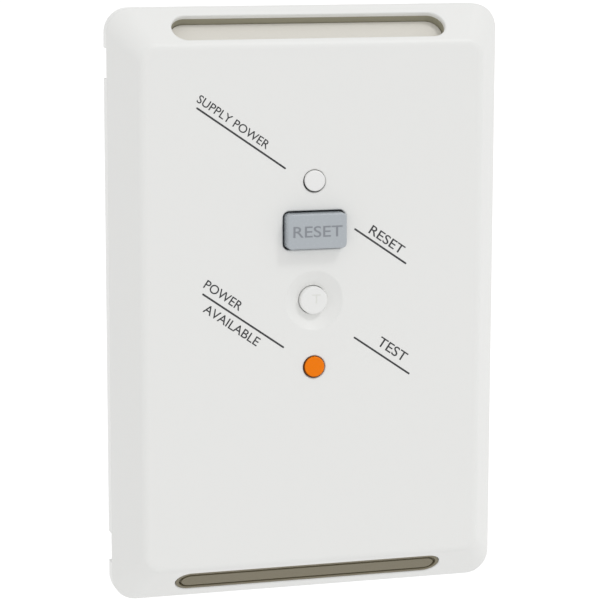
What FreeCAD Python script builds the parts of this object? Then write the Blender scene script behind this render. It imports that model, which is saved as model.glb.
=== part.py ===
import FreeCAD, Part
import math
import os
import Sketcher

# Residual current device wall plate, in millimetres.
# The origin is the middle of the plate's back, on the wall. +X is to the right as seen from
# the room, +Y goes into the wall and +Z is up, so the front of the cover is at negative Y.

SIZES = {
    # Cover plate
    "cover_width": 79.0,
    "cover_height": 117.0,
    "cover_depth": 10.0,
    "cover_skirt": 3.0,
    "cover_corner": 4.8,
    "face_corner": 3.2,
    "face_fillet": 1.8,
    "bevel_side": 5.2,
    "bevel_end": 7.0,
    "opening_edge": 0.3,
    "skirt_wall": 1.6,
    "bevel_wall": 1.0,
    "face_wall": 2.0,
    "label_slot_length": 55.1,
    "label_slot_height": 6.08,
    "label_slot_inset": 5.23,
    "label_recess": 1.6,
    "label_card": 0.4,
    "label_floor": 0.6,
    "label_rim": 0.7,
    "label_gap": 0.1,
    "blank_sunk": 0.2,
    "blank_rim": 0.65,
    "blank_groove": 0.55,
    "blank_groove_depth": 0.6,
    "notch_length": 5.9,
    "notch_depth": 2.5,
    "notch_place": 47.9,
    "cover_post_radius": 2.6,
    "cover_post_x": 31.0,
    "cover_post_z": 42.0,
    "snap_length": 7.0,
    "snap_height": 0.5,
    "snap_depth": 0.8,
    "snap_place": 24.0,
    # Controls on the face
    "supply_lamp_place": 24.9,
    "reset_place": 15.27,
    "test_place": 1.27,
    "power_lamp_place": 11.98,
    "lens_radius": 2.12,
    "lens_gap": 0.1,
    "lens_proud": 0.35,
    "reset_width": 12.0,
    "reset_height": 6.9,
    "reset_corner": 0.9,
    "reset_gap": 0.38,
    "reset_proud": 2.2,
    "reset_travel": 1.8,
    "reset_edge": 0.35,
    "test_radius": 2.75,
    "test_gap": 0.12,
    "test_sunk": 0.1,
    "test_travel": 1.1,
    "test_edge": 0.3,
    "dish_radius": 5.9,
    "dish_depth": 1.8,
    "dish_wall": 1.5,
    "button_flange": 1.0,
    "button_flange_rim": 1.1,
    # Mounting grid behind the cover
    "grid_thickness": 2.0,
    "grid_gap": 0.3,
    "wall_hole_radius": 2.1,
    "wall_hole_spacing": 84.0,
    "wall_boss_radius": 4.6,
    "wall_boss_height": 0.8,
    "grid_rib_width": 1.4,
    "grid_rib_height": 1.2,
    # Mechanism case
    "case_width": 50.0,
    "case_height": 68.0,
    "case_wall": 1.8,
    "case_corner": 3.0,
    "case_gap": 0.3,
    "lid_wall": 1.6,
    "lid_flange": 2.0,
    "lid_flange_rim": 2.0,
    "rim_depth": 1.0,
    "rear_clearance": 1.0,
    "case_screw_radius": 1.1,
    "case_screw_head": 2.1,
    "case_screw_head_depth": 1.3,
    "case_screw_inset": 4.6,
    "case_post_radius": 2.6,
    "screw_clearance": 0.2,
    # Circuit board and its parts
    "board_setback": 5.0,
    "board_thickness": 1.6,
    "board_gap": 0.4,
    "lamp_radius": 1.5,
    "lamp_flange": 0.4,
    "chip_length": 5.0,
    "chip_width": 4.0,
    "chip_height": 1.6,
    "chip_column": 11.5,
    "arrestor_radius": 4.6,
    "arrestor_height": 3.6,
    "arrestor_column": 13.0,
    "capacitor_length": 12.0,
    "capacitor_width": 5.0,
    "capacitor_height": 7.0,
    "capacitor_column": 15.5,
    "can_radius": 2.5,
    "can_length": 8.0,
    "can_row": 17.0,
    "thyristor_radius": 2.3,
    "thyristor_height": 3.4,
    "resistor_radius": 1.15,
    "resistor_length": 6.4,
    "resistor_column": 14.0,
    "diode_radius": 0.95,
    "diode_length": 4.4,
    "diode_column": 9.5,
    "test_resistor_radius": 2.0,
    "test_resistor_length": 11.0,
    "test_resistor_row": 21.5,
    "lead_radius": 0.35,
    "lead_gap": 0.25,
    # Contacts
    "chassis_thickness": 2.0,
    "opening_spring_length": 3.4,
    "pole_place": 11.5,
    "strip_standoff": 5.8,
    "strip_width": 4.0,
    "strip_thickness": 0.8,
    "tip_radius": 1.4,
    "tip_height": 0.6,
    "contact_span": 14.0,
    "contact_gap": 2.2,
    "bar_overhang": 1.5,
    "contact_spring_length": 3.2,
    "carriage_width": 17.0,
    "carriage_height": 10.0,
    "carriage_depth": 9.0,
    "beam_height": 4.0,
    "beam_depth": 2.0,
    "beam_overhang": 1.9,
    "bar_pin_radius": 0.8,
    "bar_pin_head": 1.3,
    "bar_pin_head_height": 0.4,
    "running_gap": 0.08,
    "guide_place": 5.6,
    "guide_radius": 1.1,
    "stem_radius": 1.6,
    "stem_gap": 0.3,
    "clip_radius": 2.8,
    "clip_thickness": 0.8,
    "spring_wire": 0.2,
    # Latch and trip coil
    "latch_width": 6.0,
    "latch_height": 2.2,
    "latch_gap": 1.2,
    "latch_pivot": 1.8,
    "latch_pin_radius": 0.8,
    "latch_ear": 1.3,
    "hook_gap": 0.35,
    "hook_catch": 0.4,
    "hook_length": 1.6,
    "latch_spring_length": 2.8,
    "latch_spring_wire": 0.14,
    "plunger_setback": 8.4,
    "plunger_radius": 1.5,
    "plunger_neck": 0.8,
    "plunger_head": 1.7,
    "plunger_head_height": 0.7,
    "plunger_travel": 1.37,
    "plunger_end_gap": 0.5,
    "coil_radius": 3.9,
    "coil_length": 4.9,
    "bobbin_flange": 0.7,
    "bobbin_wall": 0.5,
    "yoke_thickness": 0.8,
    # Terminals and wiring
    "terminal_width": 7.5,
    "terminal_height": 7.4,
    "terminal_depth": 9.0,
    "terminal_gap": 0.3,
    "wire_bore_radius": 2.1,
    "wire_bore_setback": 3.6,
    "wire_entry_radius": 3.0,
    "terminal_screw_radius": 1.5,
    "terminal_screw_head": 2.55,
    "terminal_screw_head_height": 2.6,
    "screw_access_radius": 3.4,
    "screw_slot_width": 0.8,
    "screw_slot_depth": 0.9,
    "link_radius": 1.1,
    "link_setback": 4.0,
    "link_spacing": 2.1,
    "core_inner": 4.4,
    "core_outer": 8.0,
    "core_height": 6.0,
    "winding_thickness": 0.9,
    "core_place": 14.0,
}

doc = FreeCAD.newDocument("rcd_wall_plate")
sheet = doc.addObject("Spreadsheet::Sheet", "Sizes")
for row, (alias, number) in enumerate(SIZES.items(), start=1):
    sheet.set(f"A{row}", alias)
    sheet.set(f"B{row}", str(number))
    sheet.setAlias(f"B{row}", alias)
doc.recompute()


class Dim:
    """A length that knows its value and the sheet expression that gives it."""

    def __init__(self, value, text):
        self.value = value
        self.text = text

    def __float__(self):
        return float(self.value)

    def __add__(self, other):
        other = as_dim(other)
        return Dim(self.value + other.value, f"({self.text} + {other.text})")

    def __sub__(self, other):
        other = as_dim(other)
        return Dim(self.value - other.value, f"({self.text} - {other.text})")

    def __mul__(self, other):
        other = as_dim(other)
        return Dim(self.value * other.value, f"({self.text} * {other.text})")

    def __truediv__(self, other):
        other = as_dim(other)
        return Dim(self.value / other.value, f"({self.text} / {other.text})")

    def __neg__(self):
        return Dim(-self.value, f"(0 - {self.text})")

    def __radd__(self, other):
        return as_dim(other) + self

    def __rsub__(self, other):
        return as_dim(other) - self

    def __rmul__(self, other):
        return as_dim(other) * self


def as_dim(value):
    """A plain number as a Dim; a Dim as it is."""
    if isinstance(value, Dim):
        return value
    return Dim(float(value), repr(float(value)))


def size(alias):
    """The driving dimension of that name, read from the sheet."""
    return Dim(float(sheet.get(alias)), f"Sizes.{alias}")


def bind(obj, prop, value):
    """Tie a property to the expression that gives its value."""
    obj.setExpression(prop, as_dim(value).text)


NODES = []


def node(obj, label):
    """Give a finished sub-part the name of its file."""
    obj.Label = label
    NODES.append(obj)
    return obj


# Primitives and booleans

AXIS_TURN = {
    "x": FreeCAD.Rotation(FreeCAD.Vector(0, 1, 0), 90),
    "y": FreeCAD.Rotation(FreeCAD.Vector(1, 0, 0), -90),
    "z": FreeCAD.Rotation(),
}
ACROSS = {"x": ("y", "z"), "y": ("x", "z"), "z": ("x", "y")}


def block(name, x, y, z):
    """A box between two values on each axis."""
    box = doc.addObject("Part::Box", name)
    for prop, axis, (low, high) in (("Length", "x", x), ("Width", "y", y), ("Height", "z", z)):
        bind(box, prop, as_dim(high) - low)
        bind(box, f"Placement.Base.{axis}", low)
    return box


def rod(name, radius, axis, span, centre):
    """A cylinder along one axis; centre holds its place on the other two."""
    cylinder = doc.addObject("Part::Cylinder", name)
    cylinder.Placement = FreeCAD.Placement(FreeCAD.Vector(), AXIS_TURN[axis])
    bind(cylinder, "Radius", radius)
    bind(cylinder, "Height", as_dim(span[1]) - span[0])
    bind(cylinder, f"Placement.Base.{axis}", span[0])
    for other, place in zip(ACROSS[axis], centre):
        bind(cylinder, f"Placement.Base.{other}", place)
    return cylinder


def cone(name, radii, axis, span, centre):
    """A cone frustum along one axis, from the first radius to the second."""
    frustum = doc.addObject("Part::Cone", name)
    frustum.Placement = FreeCAD.Placement(FreeCAD.Vector(), AXIS_TURN[axis])
    bind(frustum, "Radius1", radii[0])
    bind(frustum, "Radius2", radii[1])
    bind(frustum, "Height", as_dim(span[1]) - span[0])
    bind(frustum, f"Placement.Base.{axis}", span[0])
    for other, place in zip(ACROSS[axis], centre):
        bind(frustum, f"Placement.Base.{other}", place)
    return frustum


def fuse(name, shapes):
    """Join shapes into one solid."""
    joined = doc.addObject("Part::MultiFuse", name)
    joined.Shapes = shapes
    joined.Refine = True
    return joined


def cut(name, base, tools):
    """Take the tools away from the base."""
    result = doc.addObject("Part::Cut", name)
    result.Base = base
    result.Tool = tools[0] if len(tools) == 1 else fuse(f"{name}_tools", tools)
    return result


def common(name, base, region):
    """The part of a shape that lies inside a region."""
    inside = doc.addObject("Part::MultiCommon", name)
    inside.Shapes = [base, region]
    return inside


def group(name, shapes):
    """Loose pieces of one kind kept together, each a solid of its own."""
    gathered = doc.addObject("Part::Compound", name)
    gathered.Links = shapes
    return gathered


def both_sides(name, make, tags=("left", "right")):
    """Make a piece on the negative side and one on the positive side, and keep them together."""
    return group(name, [make(side, tag) for side, tag in zip((-1, 1), tags)])


# Sketches and body features

def new_sketch(body, name, plane_role, offset):
    """A sketch on one of the body's own origin planes, moved along that plane's normal."""
    plane = [item for item in body.Origin.OriginFeatures if item.Role == plane_role][0]
    sketch = body.newObject("Sketcher::SketchObject", name)
    sketch.AttachmentSupport = [(plane, "")]
    sketch.MapMode = "FlatFace"
    bind(sketch, "AttachmentOffset.Base.z", offset)
    return sketch


def front_sketch(body, name, y):
    """A sketch parallel to the wall at that Y: its axes are +X and +Z, its normal is -Y."""
    return new_sketch(body, name, "XZ_Plane", -as_dim(y))


def side_sketch(body, name, x):
    """A sketch square to X at that X: its axes are +Y and +Z."""
    return new_sketch(body, name, "YZ_Plane", x)


def dimension(sketch, kind, geometry, value):
    """Add one named size to a sketch and tie it to the sheet."""
    value = as_dim(value)
    index = sketch.addConstraint(Sketcher.Constraint(kind, *geometry, float(value)))
    sketch.setExpression(f"Constraints[{index}]", value.text)


def pin_point(sketch, geometry, point, u, v):
    """Hold a point of a sketch at u, v from the sketch's origin."""
    for kind, axis, value in (("DistanceX", -2, u), ("DistanceY", -1, v)):
        if isinstance(value, (int, float)) and value == 0:
            sketch.addConstraint(Sketcher.Constraint("PointOnObject", geometry, point, axis))
        else:
            dimension(sketch, kind, (-1, 1, geometry, point), value)


def bevel_sketch(body, name, side, depth):
    """A sketch parallel to the sloping band above (side 1) or below (side -1) the face.

    It lies that far under the band's outside, its origin is under the band's rear edge, its
    axes are +X and up the slope, and its normal points out of the plate.
    """
    sketch = front_sketch(body, name, 0)
    turn = FreeCAD.Rotation(FreeCAD.Vector(-side, 0, 0), 1)
    sketch.AttachmentOffset = FreeCAD.Placement(FreeCAD.Vector(), turn)
    steepness = BAND_RISE / size("bevel_end")
    sketch.setExpression("AttachmentOffset.Rotation.Angle", f"atan({steepness.text})")
    bind(sketch, "AttachmentOffset.Base.y", side * (half_h - depth * BAND_RISE / BAND_SLOPE))
    bind(sketch, "AttachmentOffset.Base.z", size("cover_skirt") - depth * size("bevel_end") / BAND_SLOPE)
    return sketch


def vec(u, v):
    return FreeCAD.Vector(float(u), float(v), 0)


def sketch_circle(sketch, u, v, radius):
    """A circle held at its centre."""
    circle = Part.Circle(vec(u, v), FreeCAD.Vector(0, 0, 1), float(radius))
    index = sketch.addGeometry(circle, False)
    pin_point(sketch, index, 3, u, v)
    dimension(sketch, "Radius", (index,), radius)


def sketch_polygon(sketch, points):
    """A closed outline of straight lines with every corner held."""
    count = len(points)
    first = sketch.GeometryCount
    for i in range(count):
        sketch.addGeometry(Part.LineSegment(vec(*points[i]), vec(*points[(i + 1) % count])), False)
    for i in range(count):
        following = first + (i + 1) % count
        sketch.addConstraint(Sketcher.Constraint("Coincident", first + i, 2, following, 1))
        pin_point(sketch, first + i, 1, *points[i])


def sketch_rectangle(sketch, u, v):
    """A rectangle between two values on each sketch axis."""
    sketch_polygon(sketch, [(u[0], v[0]), (u[1], v[0]), (u[1], v[1]), (u[0], v[1])])


def corner_arc(centre_u, centre_v, radius, start):
    """A quarter arc that begins at that many quarter turns."""
    circle = Part.Circle(vec(centre_u, centre_v), FreeCAD.Vector(0, 0, 1), float(radius))
    return Part.ArcOfCircle(circle, start * math.pi / 2, (start + 1) * math.pi / 2)


def sketch_rounded(sketch, u, v, radius):
    """A rectangle with round corners: four sides and four tangent arcs."""
    (u0, u1), (v0, v1) = [(as_dim(low), as_dim(high)) for low, high in (u, v)]
    radius = as_dim(radius)
    left, right, low, high = u0 + radius, u1 - radius, v0 + radius, v1 - radius
    first = sketch.GeometryCount
    sides = [((left, v0), (right, v0)), ((u1, low), (u1, high)),
             ((right, v1), (left, v1)), ((u0, high), (u0, low))]
    for start, end in sides:
        sketch.addGeometry(Part.LineSegment(vec(*start), vec(*end)), False)
    corners = [(right, low, 3), (right, high, 0), (left, high, 1), (left, low, 2)]
    for centre_u, centre_v, start in corners:
        sketch.addGeometry(corner_arc(centre_u, centre_v, radius, start), False)
    for i in range(4):
        arc = first + 4 + i
        sketch.addConstraint(Sketcher.Constraint("Tangent", first + i, 2, arc, 1))
        sketch.addConstraint(Sketcher.Constraint("Tangent", arc, 2, first + (i + 1) % 4, 1))
        sketch.addConstraint(Sketcher.Constraint("Horizontal" if i % 2 == 0 else "Vertical", first + i))
    for i in range(1, 4):
        sketch.addConstraint(Sketcher.Constraint("Equal", first + 4, first + 4 + i))
    dimension(sketch, "Radius", (first + 4,), radius)
    dimension(sketch, "DistanceY", (-1, 1, first, 1), v0)
    dimension(sketch, "DistanceX", (-1, 1, first + 1, 1), u1)
    dimension(sketch, "DistanceY", (-1, 1, first + 2, 1), v1)
    dimension(sketch, "DistanceX", (-1, 1, first + 3, 1), u0)


def sketch_slot(sketch, length, height, v):
    """A level slot with full round ends, centred on the sketch's vertical axis."""
    radius = height / 2
    reach = length / 2 - radius
    first = sketch.GeometryCount
    sketch.addGeometry(Part.LineSegment(vec(-reach, v - radius), vec(reach, v - radius)), False)
    sketch.addGeometry(Part.LineSegment(vec(reach, v + radius), vec(-reach, v + radius)), False)
    for centre, start in ((reach, -1), (-reach, 1)):
        circle = Part.Circle(vec(centre, v), FreeCAD.Vector(0, 0, 1), float(radius))
        arc = Part.ArcOfCircle(circle, start * math.pi / 2, (start + 2) * math.pi / 2)
        sketch.addGeometry(arc, False)
    low, high, right, left = range(first, first + 4)
    for one, other in ((low, right), (right, high), (high, left), (left, low)):
        sketch.addConstraint(Sketcher.Constraint("Tangent", one, 2, other, 1))
    sketch.addConstraint(Sketcher.Constraint("Horizontal", low))
    sketch.addConstraint(Sketcher.Constraint("Horizontal", high))
    dimension(sketch, "Radius", (right,), radius)
    dimension(sketch, "DistanceX", (-1, 1, right, 3), reach)
    dimension(sketch, "DistanceX", (-1, 1, left, 3), -reach)
    dimension(sketch, "DistanceY", (-1, 1, right, 3), v)


def new_body(label):
    """An empty body that becomes one sub-part."""
    return node(doc.addObject("PartDesign::Body", label), label)


def pad(body, sketch, length, both_ways=False):
    """Raise a sketch along its normal."""
    feature = body.newObject("PartDesign::Pad", f"{sketch.Name}_pad")
    feature.Profile = sketch
    bind(feature, "Length", length)
    feature.Midplane = both_ways
    doc.recompute()
    return feature


def pocket(body, sketch, depth, both_ways=False):
    """Cut a sketch along its normal, and make sure that the cut took something away."""
    before = body.Shape.Volume
    feature = body.newObject("PartDesign::Pocket", f"{sketch.Name}_pocket")
    feature.Profile = sketch
    bind(feature, "Length", depth)
    feature.Reversed = True
    feature.Midplane = both_ways
    doc.recompute()
    if body.Shape.Volume >= before:
        raise RuntimeError(f"{feature.Name} in {body.Label} cuts nothing")
    return feature


def loft(body, kind, first, second):
    """A ruled loft between two sketches, added or taken away."""
    feature = body.newObject(f"PartDesign::{kind}", f"{first.Name}_loft")
    feature.Profile = first
    feature.Sections = [second]
    feature.Ruled = True
    doc.recompute()
    return feature


def fillet(body, radius, choose):
    """Round the edges that choose picks on the body's last feature."""
    base = body.Tip
    names = [f"Edge{i + 1}" for i, edge in enumerate(base.Shape.Edges) if choose(edge)]
    feature = body.newObject("PartDesign::Fillet", f"{base.Name}_fillet")
    feature.Base = (base, names)
    bind(feature, "Radius", radius)
    doc.recompute()
    return feature


def edge_points(edge, count=5):
    """Points spread along an edge, its two ends included."""
    first, last = edge.ParameterRange
    return [edge.valueAt(first + (last - first) * i / (count - 1)) for i in range(count)]


def lies_at(edge, y):
    """Whether the whole edge lies in the plane at that Y."""
    return all(abs(place.y - float(y)) < 1e-4 for place in edge_points(edge))


# Free-form shapes from the sheet's values

def point(x, y, z):
    return FreeCAD.Vector(float(x), float(y), float(z))


def arc_from(start, tangent, end):
    """The arc that leaves start along tangent and arrives at end."""
    chord = end - start
    along = FreeCAD.Vector(chord).normalize()
    side = tangent - along * tangent.dot(along)
    half_turn = math.acos(max(-1.0, min(1.0, tangent.dot(along))))
    rise = chord.Length / 2 * math.tan(half_turn / 2)
    middle = (start + end) * 0.5 + side.normalize() * rise
    return Part.Arc(start, middle, end).toShape()


def biarc(start, start_way, end, end_way):
    """Two tangent arcs between two points with a direction at each."""
    chord = end - start
    ways = start_way + end_way
    bend = 2 * (1 - start_way.dot(end_way))
    reach = (-chord.dot(ways) + math.sqrt(chord.dot(ways) ** 2 + bend * chord.dot(chord))) / bend
    joint = (start + end + (start_way - end_way) * reach) * 0.5
    second = arc_from(end, end_way * -1, joint)
    return [arc_from(start, start_way, joint), second]


def tube_along(edges, radius):
    """A round tube along joined edges."""
    path = Part.Wire(edges)
    start = path.Edges[0].valueAt(path.Edges[0].FirstParameter)
    way = path.Edges[0].tangentAt(path.Edges[0].FirstParameter)
    ring = Part.Wire([Part.makeCircle(float(radius), start, way)])
    return path.makePipeShell([ring], True, False)


def coil_shape(axis, start, length, mean_radius, wire_radius, turns):
    """A spring: quarter turns of a helix from start, each one a pair of tangent arcs."""
    forward = {"y": FreeCAD.Vector(0, 1, 0), "z": FreeCAD.Vector(0, 0, 1)}[axis]
    across = FreeCAD.Vector(1, 0, 0)
    upward = forward.cross(across)
    rise = (float(length) - 2 * float(wire_radius)) / (turns * 2 * math.pi)
    origin = start + forward * float(wire_radius)

    def place(angle):
        radial = across * math.cos(angle) + upward * math.sin(angle)
        return origin + radial * float(mean_radius) + forward * (rise * angle)

    def way(angle):
        turning = upward * math.cos(angle) - across * math.sin(angle)
        return (turning * float(mean_radius) + forward * rise).normalize()

    edges = []
    for quarter in range(turns * 4):
        low = quarter * math.pi / 2
        high = low + math.pi / 2
        edges += biarc(place(low), way(low), place(high), way(high))
    return tube_along(edges, wire_radius)


def bent_path(points, radii):
    """Straight runs joined by tangent arcs of the given radii."""
    edges = []
    start = points[0]
    for before, corner, after, radius in zip(points, points[1:], points[2:], radii):
        coming = (corner - before).normalize()
        going = (after - corner).normalize()
        trim = radius * math.tan(coming.getAngle(going) / 2)
        arc_start = corner - coming * trim
        arc_end = corner + going * trim
        edges.append(Part.LineSegment(start, arc_start).toShape())
        edges.append(arc_from(arc_start, coming, arc_end))
        start = arc_end
    edges.append(Part.LineSegment(start, points[-1]).toShape())
    return edges


def shaped(label, shape):
    """A sub-part whose shape is made from the sheet's values directly."""
    feature = doc.addObject("Part::Feature", label)
    feature.Shape = shape
    return feature


# Levels from the front of the cover to the back of the case

W = size("cover_width")
H = size("cover_height")
D = size("cover_depth")
face = -D
face_back = size("face_wall") - D
grid_front = -size("grid_thickness")
flange_front = grid_front - size("lid_flange")
lid_front = flange_front - size("lid_wall")
rim = size("rim_depth")
board_front = rim + size("board_setback")
board_rear = board_front + size("board_thickness")
chassis_rear = board_rear + size("chassis_thickness")
carriage_front = chassis_rear + size("opening_spring_length")
carriage_rear = carriage_front + size("carriage_depth")
strip_front = chassis_rear + size("strip_standoff")
strip_rear = strip_front + size("strip_thickness")
contact_plane = strip_rear + size("tip_height")
bar_front = contact_plane + size("tip_height")
bar_rear = bar_front + size("strip_thickness")
beam_front = bar_rear + size("contact_spring_length")
beam_rear = beam_front + size("beam_depth")
clip_front = beam_rear + size("contact_gap") + size("hook_catch")
clip_rear = clip_front + size("clip_thickness")
stem_end = clip_rear + size("clip_thickness")
case_inside = stem_end + size("reset_travel") + size("rear_clearance")
case_rear = case_inside + size("case_wall")
terminal_rear = strip_rear + size("terminal_depth")
wire_y = strip_rear + size("wire_bore_setback")
plunger_y = chassis_rear + size("plunger_setback")
pivot_y = chassis_rear + size("latch_pivot")
link_y = strip_rear + size("link_setback")

# Heights of the controls and of what lines up with them

reset_z = size("reset_place")
test_z = size("test_place")
supply_z = size("supply_lamp_place")
power_z = -size("power_lamp_place")
carriage_bottom = reset_z - size("carriage_height") / 2
latch_top = carriage_bottom - size("latch_gap")
latch_bottom = latch_top - size("latch_height")
pivot_z = (latch_top + latch_bottom) / 2
yoke_top = latch_bottom - size("latch_spring_length")
bobbin_top = yoke_top - size("yoke_thickness")
bobbin_bottom = bobbin_top - size("coil_length") - 2 * size("bobbin_flange")
yoke_bottom = bobbin_bottom - size("yoke_thickness")
upper_contact_z = reset_z + size("contact_span") / 2
lower_contact_z = reset_z - size("contact_span") / 2
core_z = -size("core_place")

# Half widths and half heights

half_w = W / 2
half_h = H / 2
case_x = size("case_width") / 2
case_z = size("case_height") / 2
inner_x = case_x - size("case_wall")
inner_z = case_z - size("case_wall")
screw_x = case_x - size("case_screw_inset")
screw_z = case_z - size("case_screw_inset")
pole_x = size("pole_place")
terminal_outer = inner_z - size("terminal_gap")
terminal_inner = terminal_outer - size("terminal_height")
strip_half = size("strip_width") / 2
bar_end = size("contact_span") / 2 + size("bar_overhang")


# The sloping bands above and below the face

def root(square):
    """The square root of a value."""
    return Dim(math.sqrt(square.value), f"sqrt({square.text})")


BAND_RISE = D - size("cover_skirt")
BAND_SLOPE = root(BAND_RISE * BAND_RISE + size("bevel_end") * size("bevel_end"))


def band_point(side, along, depth):
    """Y and Z of a point that far down the band from its rear edge and that deep under it."""
    back = along * BAND_RISE - depth * size("bevel_end")
    inward = along * size("bevel_end") + depth * BAND_RISE
    return -size("cover_skirt") - back / BAND_SLOPE, side * (half_h - inward / BAND_SLOPE)


def bevel_inset(run, level):
    """How far the sloping outside of the cover has come in at that distance from the wall."""
    return run * (as_dim(level) - size("cover_skirt")) / (D - size("cover_skirt"))


def four(x, z):
    """The four corners at plus and minus x and z."""
    return [(sx * x, sz * z) for sx in (-1, 1) for sz in (-1, 1)]


# Front of the plate

def make_cover():
    """The moulded front: skirt, sloping band and flat face, hollow behind."""
    body = new_body("cover_plate")
    skirt = size("cover_skirt")
    corner = size("cover_corner")
    outline = front_sketch(body, "cover_outline", 0)
    sketch_rounded(outline, (-half_w, half_w), (-half_h, half_h), corner)
    pad(body, outline, skirt)
    band = front_sketch(body, "cover_band", -skirt)
    sketch_rounded(band, (-half_w, half_w), (-half_h, half_h), corner)
    flat_w = half_w - size("bevel_side")
    flat_h = half_h - size("bevel_end")
    flat = front_sketch(body, "cover_flat", face)
    sketch_rounded(flat, (-flat_w, flat_w), (-flat_h, flat_h), size("face_corner"))
    loft(body, "AdditiveLoft", band, flat)
    fillet(body, size("face_fillet"), lambda edge: lies_at(edge, face))
    hollow_cover(body)
    add_cover_bosses(body)
    cut_cover_openings(body)


def hollow_cover(body):
    """The space behind the skirt, the sloping band and the face."""
    wall = size("skirt_wall")
    rise = BAND_RISE
    side_slope = root(rise * rise + size("bevel_side") * size("bevel_side"))
    end_offset = size("bevel_wall") * BAND_SLOPE / rise
    side_offset = size("bevel_wall") * side_slope / rise
    shoulder = size("cover_skirt") + (wall - end_offset) * rise / size("bevel_end")
    inner_w = half_w - wall
    inner_h = half_h - wall
    corner = size("cover_corner") - wall
    mouth = front_sketch(body, "hollow_mouth", 0)
    sketch_rounded(mouth, (-inner_w, inner_w), (-inner_h, inner_h), corner)
    pocket(body, mouth, shoulder)
    low = front_sketch(body, "hollow_low", -shoulder)
    sketch_rounded(low, (-inner_w, inner_w), (-inner_h, inner_h), corner)
    deep_w = half_w - bevel_inset(size("bevel_side"), -face_back) - side_offset
    deep_h = half_h - bevel_inset(size("bevel_end"), -face_back) - end_offset
    deep = front_sketch(body, "hollow_deep", face_back)
    sketch_rounded(deep, (-deep_w, deep_w), (-deep_h, deep_h), size("face_corner") * 0.8)
    loft(body, "SubtractiveLoft", low, deep)


def add_cover_bosses(body):
    """Posts that stand on the grid, the cup behind the test dish and the snap beads."""
    posts = front_sketch(body, "cover_posts", grid_front)
    for x, z in four(size("cover_post_x"), size("cover_post_z")):
        sketch_circle(posts, x, z, size("cover_post_radius"))
    pad(body, posts, grid_front - face_back + size("face_wall") / 4)
    cup_back = face + size("dish_depth") + size("dish_wall")
    cup = front_sketch(body, "dish_cup", cup_back)
    sketch_circle(cup, 0, test_z, size("dish_radius") + size("dish_wall"))
    pad(body, cup, cup_back - face_back + size("face_wall") / 4)
    inner_w = half_w - size("skirt_wall")
    beads = front_sketch(body, "snap_beads", -size("grid_gap"))
    reach = size("snap_length") / 2
    bead_in = inner_w - size("snap_height")
    bead_out = inner_w + size("skirt_wall") / 2
    for z in (size("snap_place"), -size("snap_place")):
        sketch_rectangle(beads, (bead_in, bead_out), (z - reach, z + reach))
        sketch_rectangle(beads, (-bead_out, -bead_in), (z - reach, z + reach))
    pad(body, beads, size("snap_depth"))


def cut_cover_openings(body):
    """The dish, the holes for the controls, the label slots and the notches in the skirt."""
    depth = size("dish_depth")
    sphere = (size("dish_radius") * size("dish_radius") + depth * depth) / (2 * depth)
    dish = body.newObject("PartDesign::SubtractiveSphere", "test_dish")
    bind(dish, "Radius", sphere)
    bind(dish, "Placement.Base.y", face + depth - sphere)
    bind(dish, "Placement.Base.z", test_z)
    doc.recompute()
    half_reset_w = size("reset_width") / 2 + size("reset_gap")
    half_reset_h = size("reset_height") / 2 + size("reset_gap")
    holes = front_sketch(body, "control_holes", 0)
    sketch_rounded(holes, (-half_reset_w, half_reset_w),
                   (reset_z - half_reset_h, reset_z + half_reset_h),
                   size("reset_corner") + size("reset_gap"))
    sketch_circle(holes, 0, test_z, size("test_radius") + size("test_gap"))
    for z in (supply_z, power_z):
        sketch_circle(holes, 0, z, size("lens_radius") + size("lens_gap"))
    pocket(body, holes, D + 1)
    for tag, side in (("top", 1), ("bottom", -1)):
        slot = bevel_sketch(body, f"label_slot_{tag}", side, 0)
        sketch_label(slot, side, 0)
        pocket(body, slot, 4 * size("bevel_wall"), both_ways=True)
    notches = front_sketch(body, "skirt_notches", 0)
    reach = size("notch_length") / 2
    edge = half_w - size("skirt_wall") - size("grid_gap") / 2
    for z in (size("notch_place"), -size("notch_place")):
        sketch_rectangle(notches, (edge, half_w + 1), (z - reach, z + reach))
        sketch_rectangle(notches, (-(half_w + 1), -edge), (z - reach, z + reach))
    pocket(body, notches, size("notch_depth"))
    fillet(body, size("opening_edge"), rims_an_opening)


def rims_an_opening(edge):
    """Whether an edge is the front rim of a control's hole, of the dish or of a label slot."""
    places = edge_points(edge)
    if lies_at(edge, face):
        return all(abs(place.x) < float(size("cover_post_x")) / 2 for place in places)
    slot_end = float(size("label_slot_length")) / 2 + 1e-3
    for place in places:
        slope = float(half_h) - float(bevel_inset(size("bevel_end"), -place.y))
        if abs(place.x) > slot_end or abs(abs(place.z) - slope) > 1e-3:
            return False
    return places[0].y > float(face) + 1e-3


GRID_X = half_w - size("skirt_wall") - size("grid_gap")
GRID_Z = half_h - size("skirt_wall") - size("grid_gap")
HOLDER_FLOOR = size("bevel_wall") + size("label_recess") + size("label_card")
HOLDER_DEPTH = HOLDER_FLOOR + size("label_floor")
HOLDER_UP = size("label_slot_inset") - size("label_slot_height") / 2 - size("label_rim")
HOLDER_LOW = size("label_slot_inset") + size("label_slot_height") / 2 + size("label_rim")
HOLDER_X = size("label_slot_length") / 2 + size("label_rim")
WINDOW_X = case_x + size("case_gap")
WINDOW_Z = case_z + size("case_gap")


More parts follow.
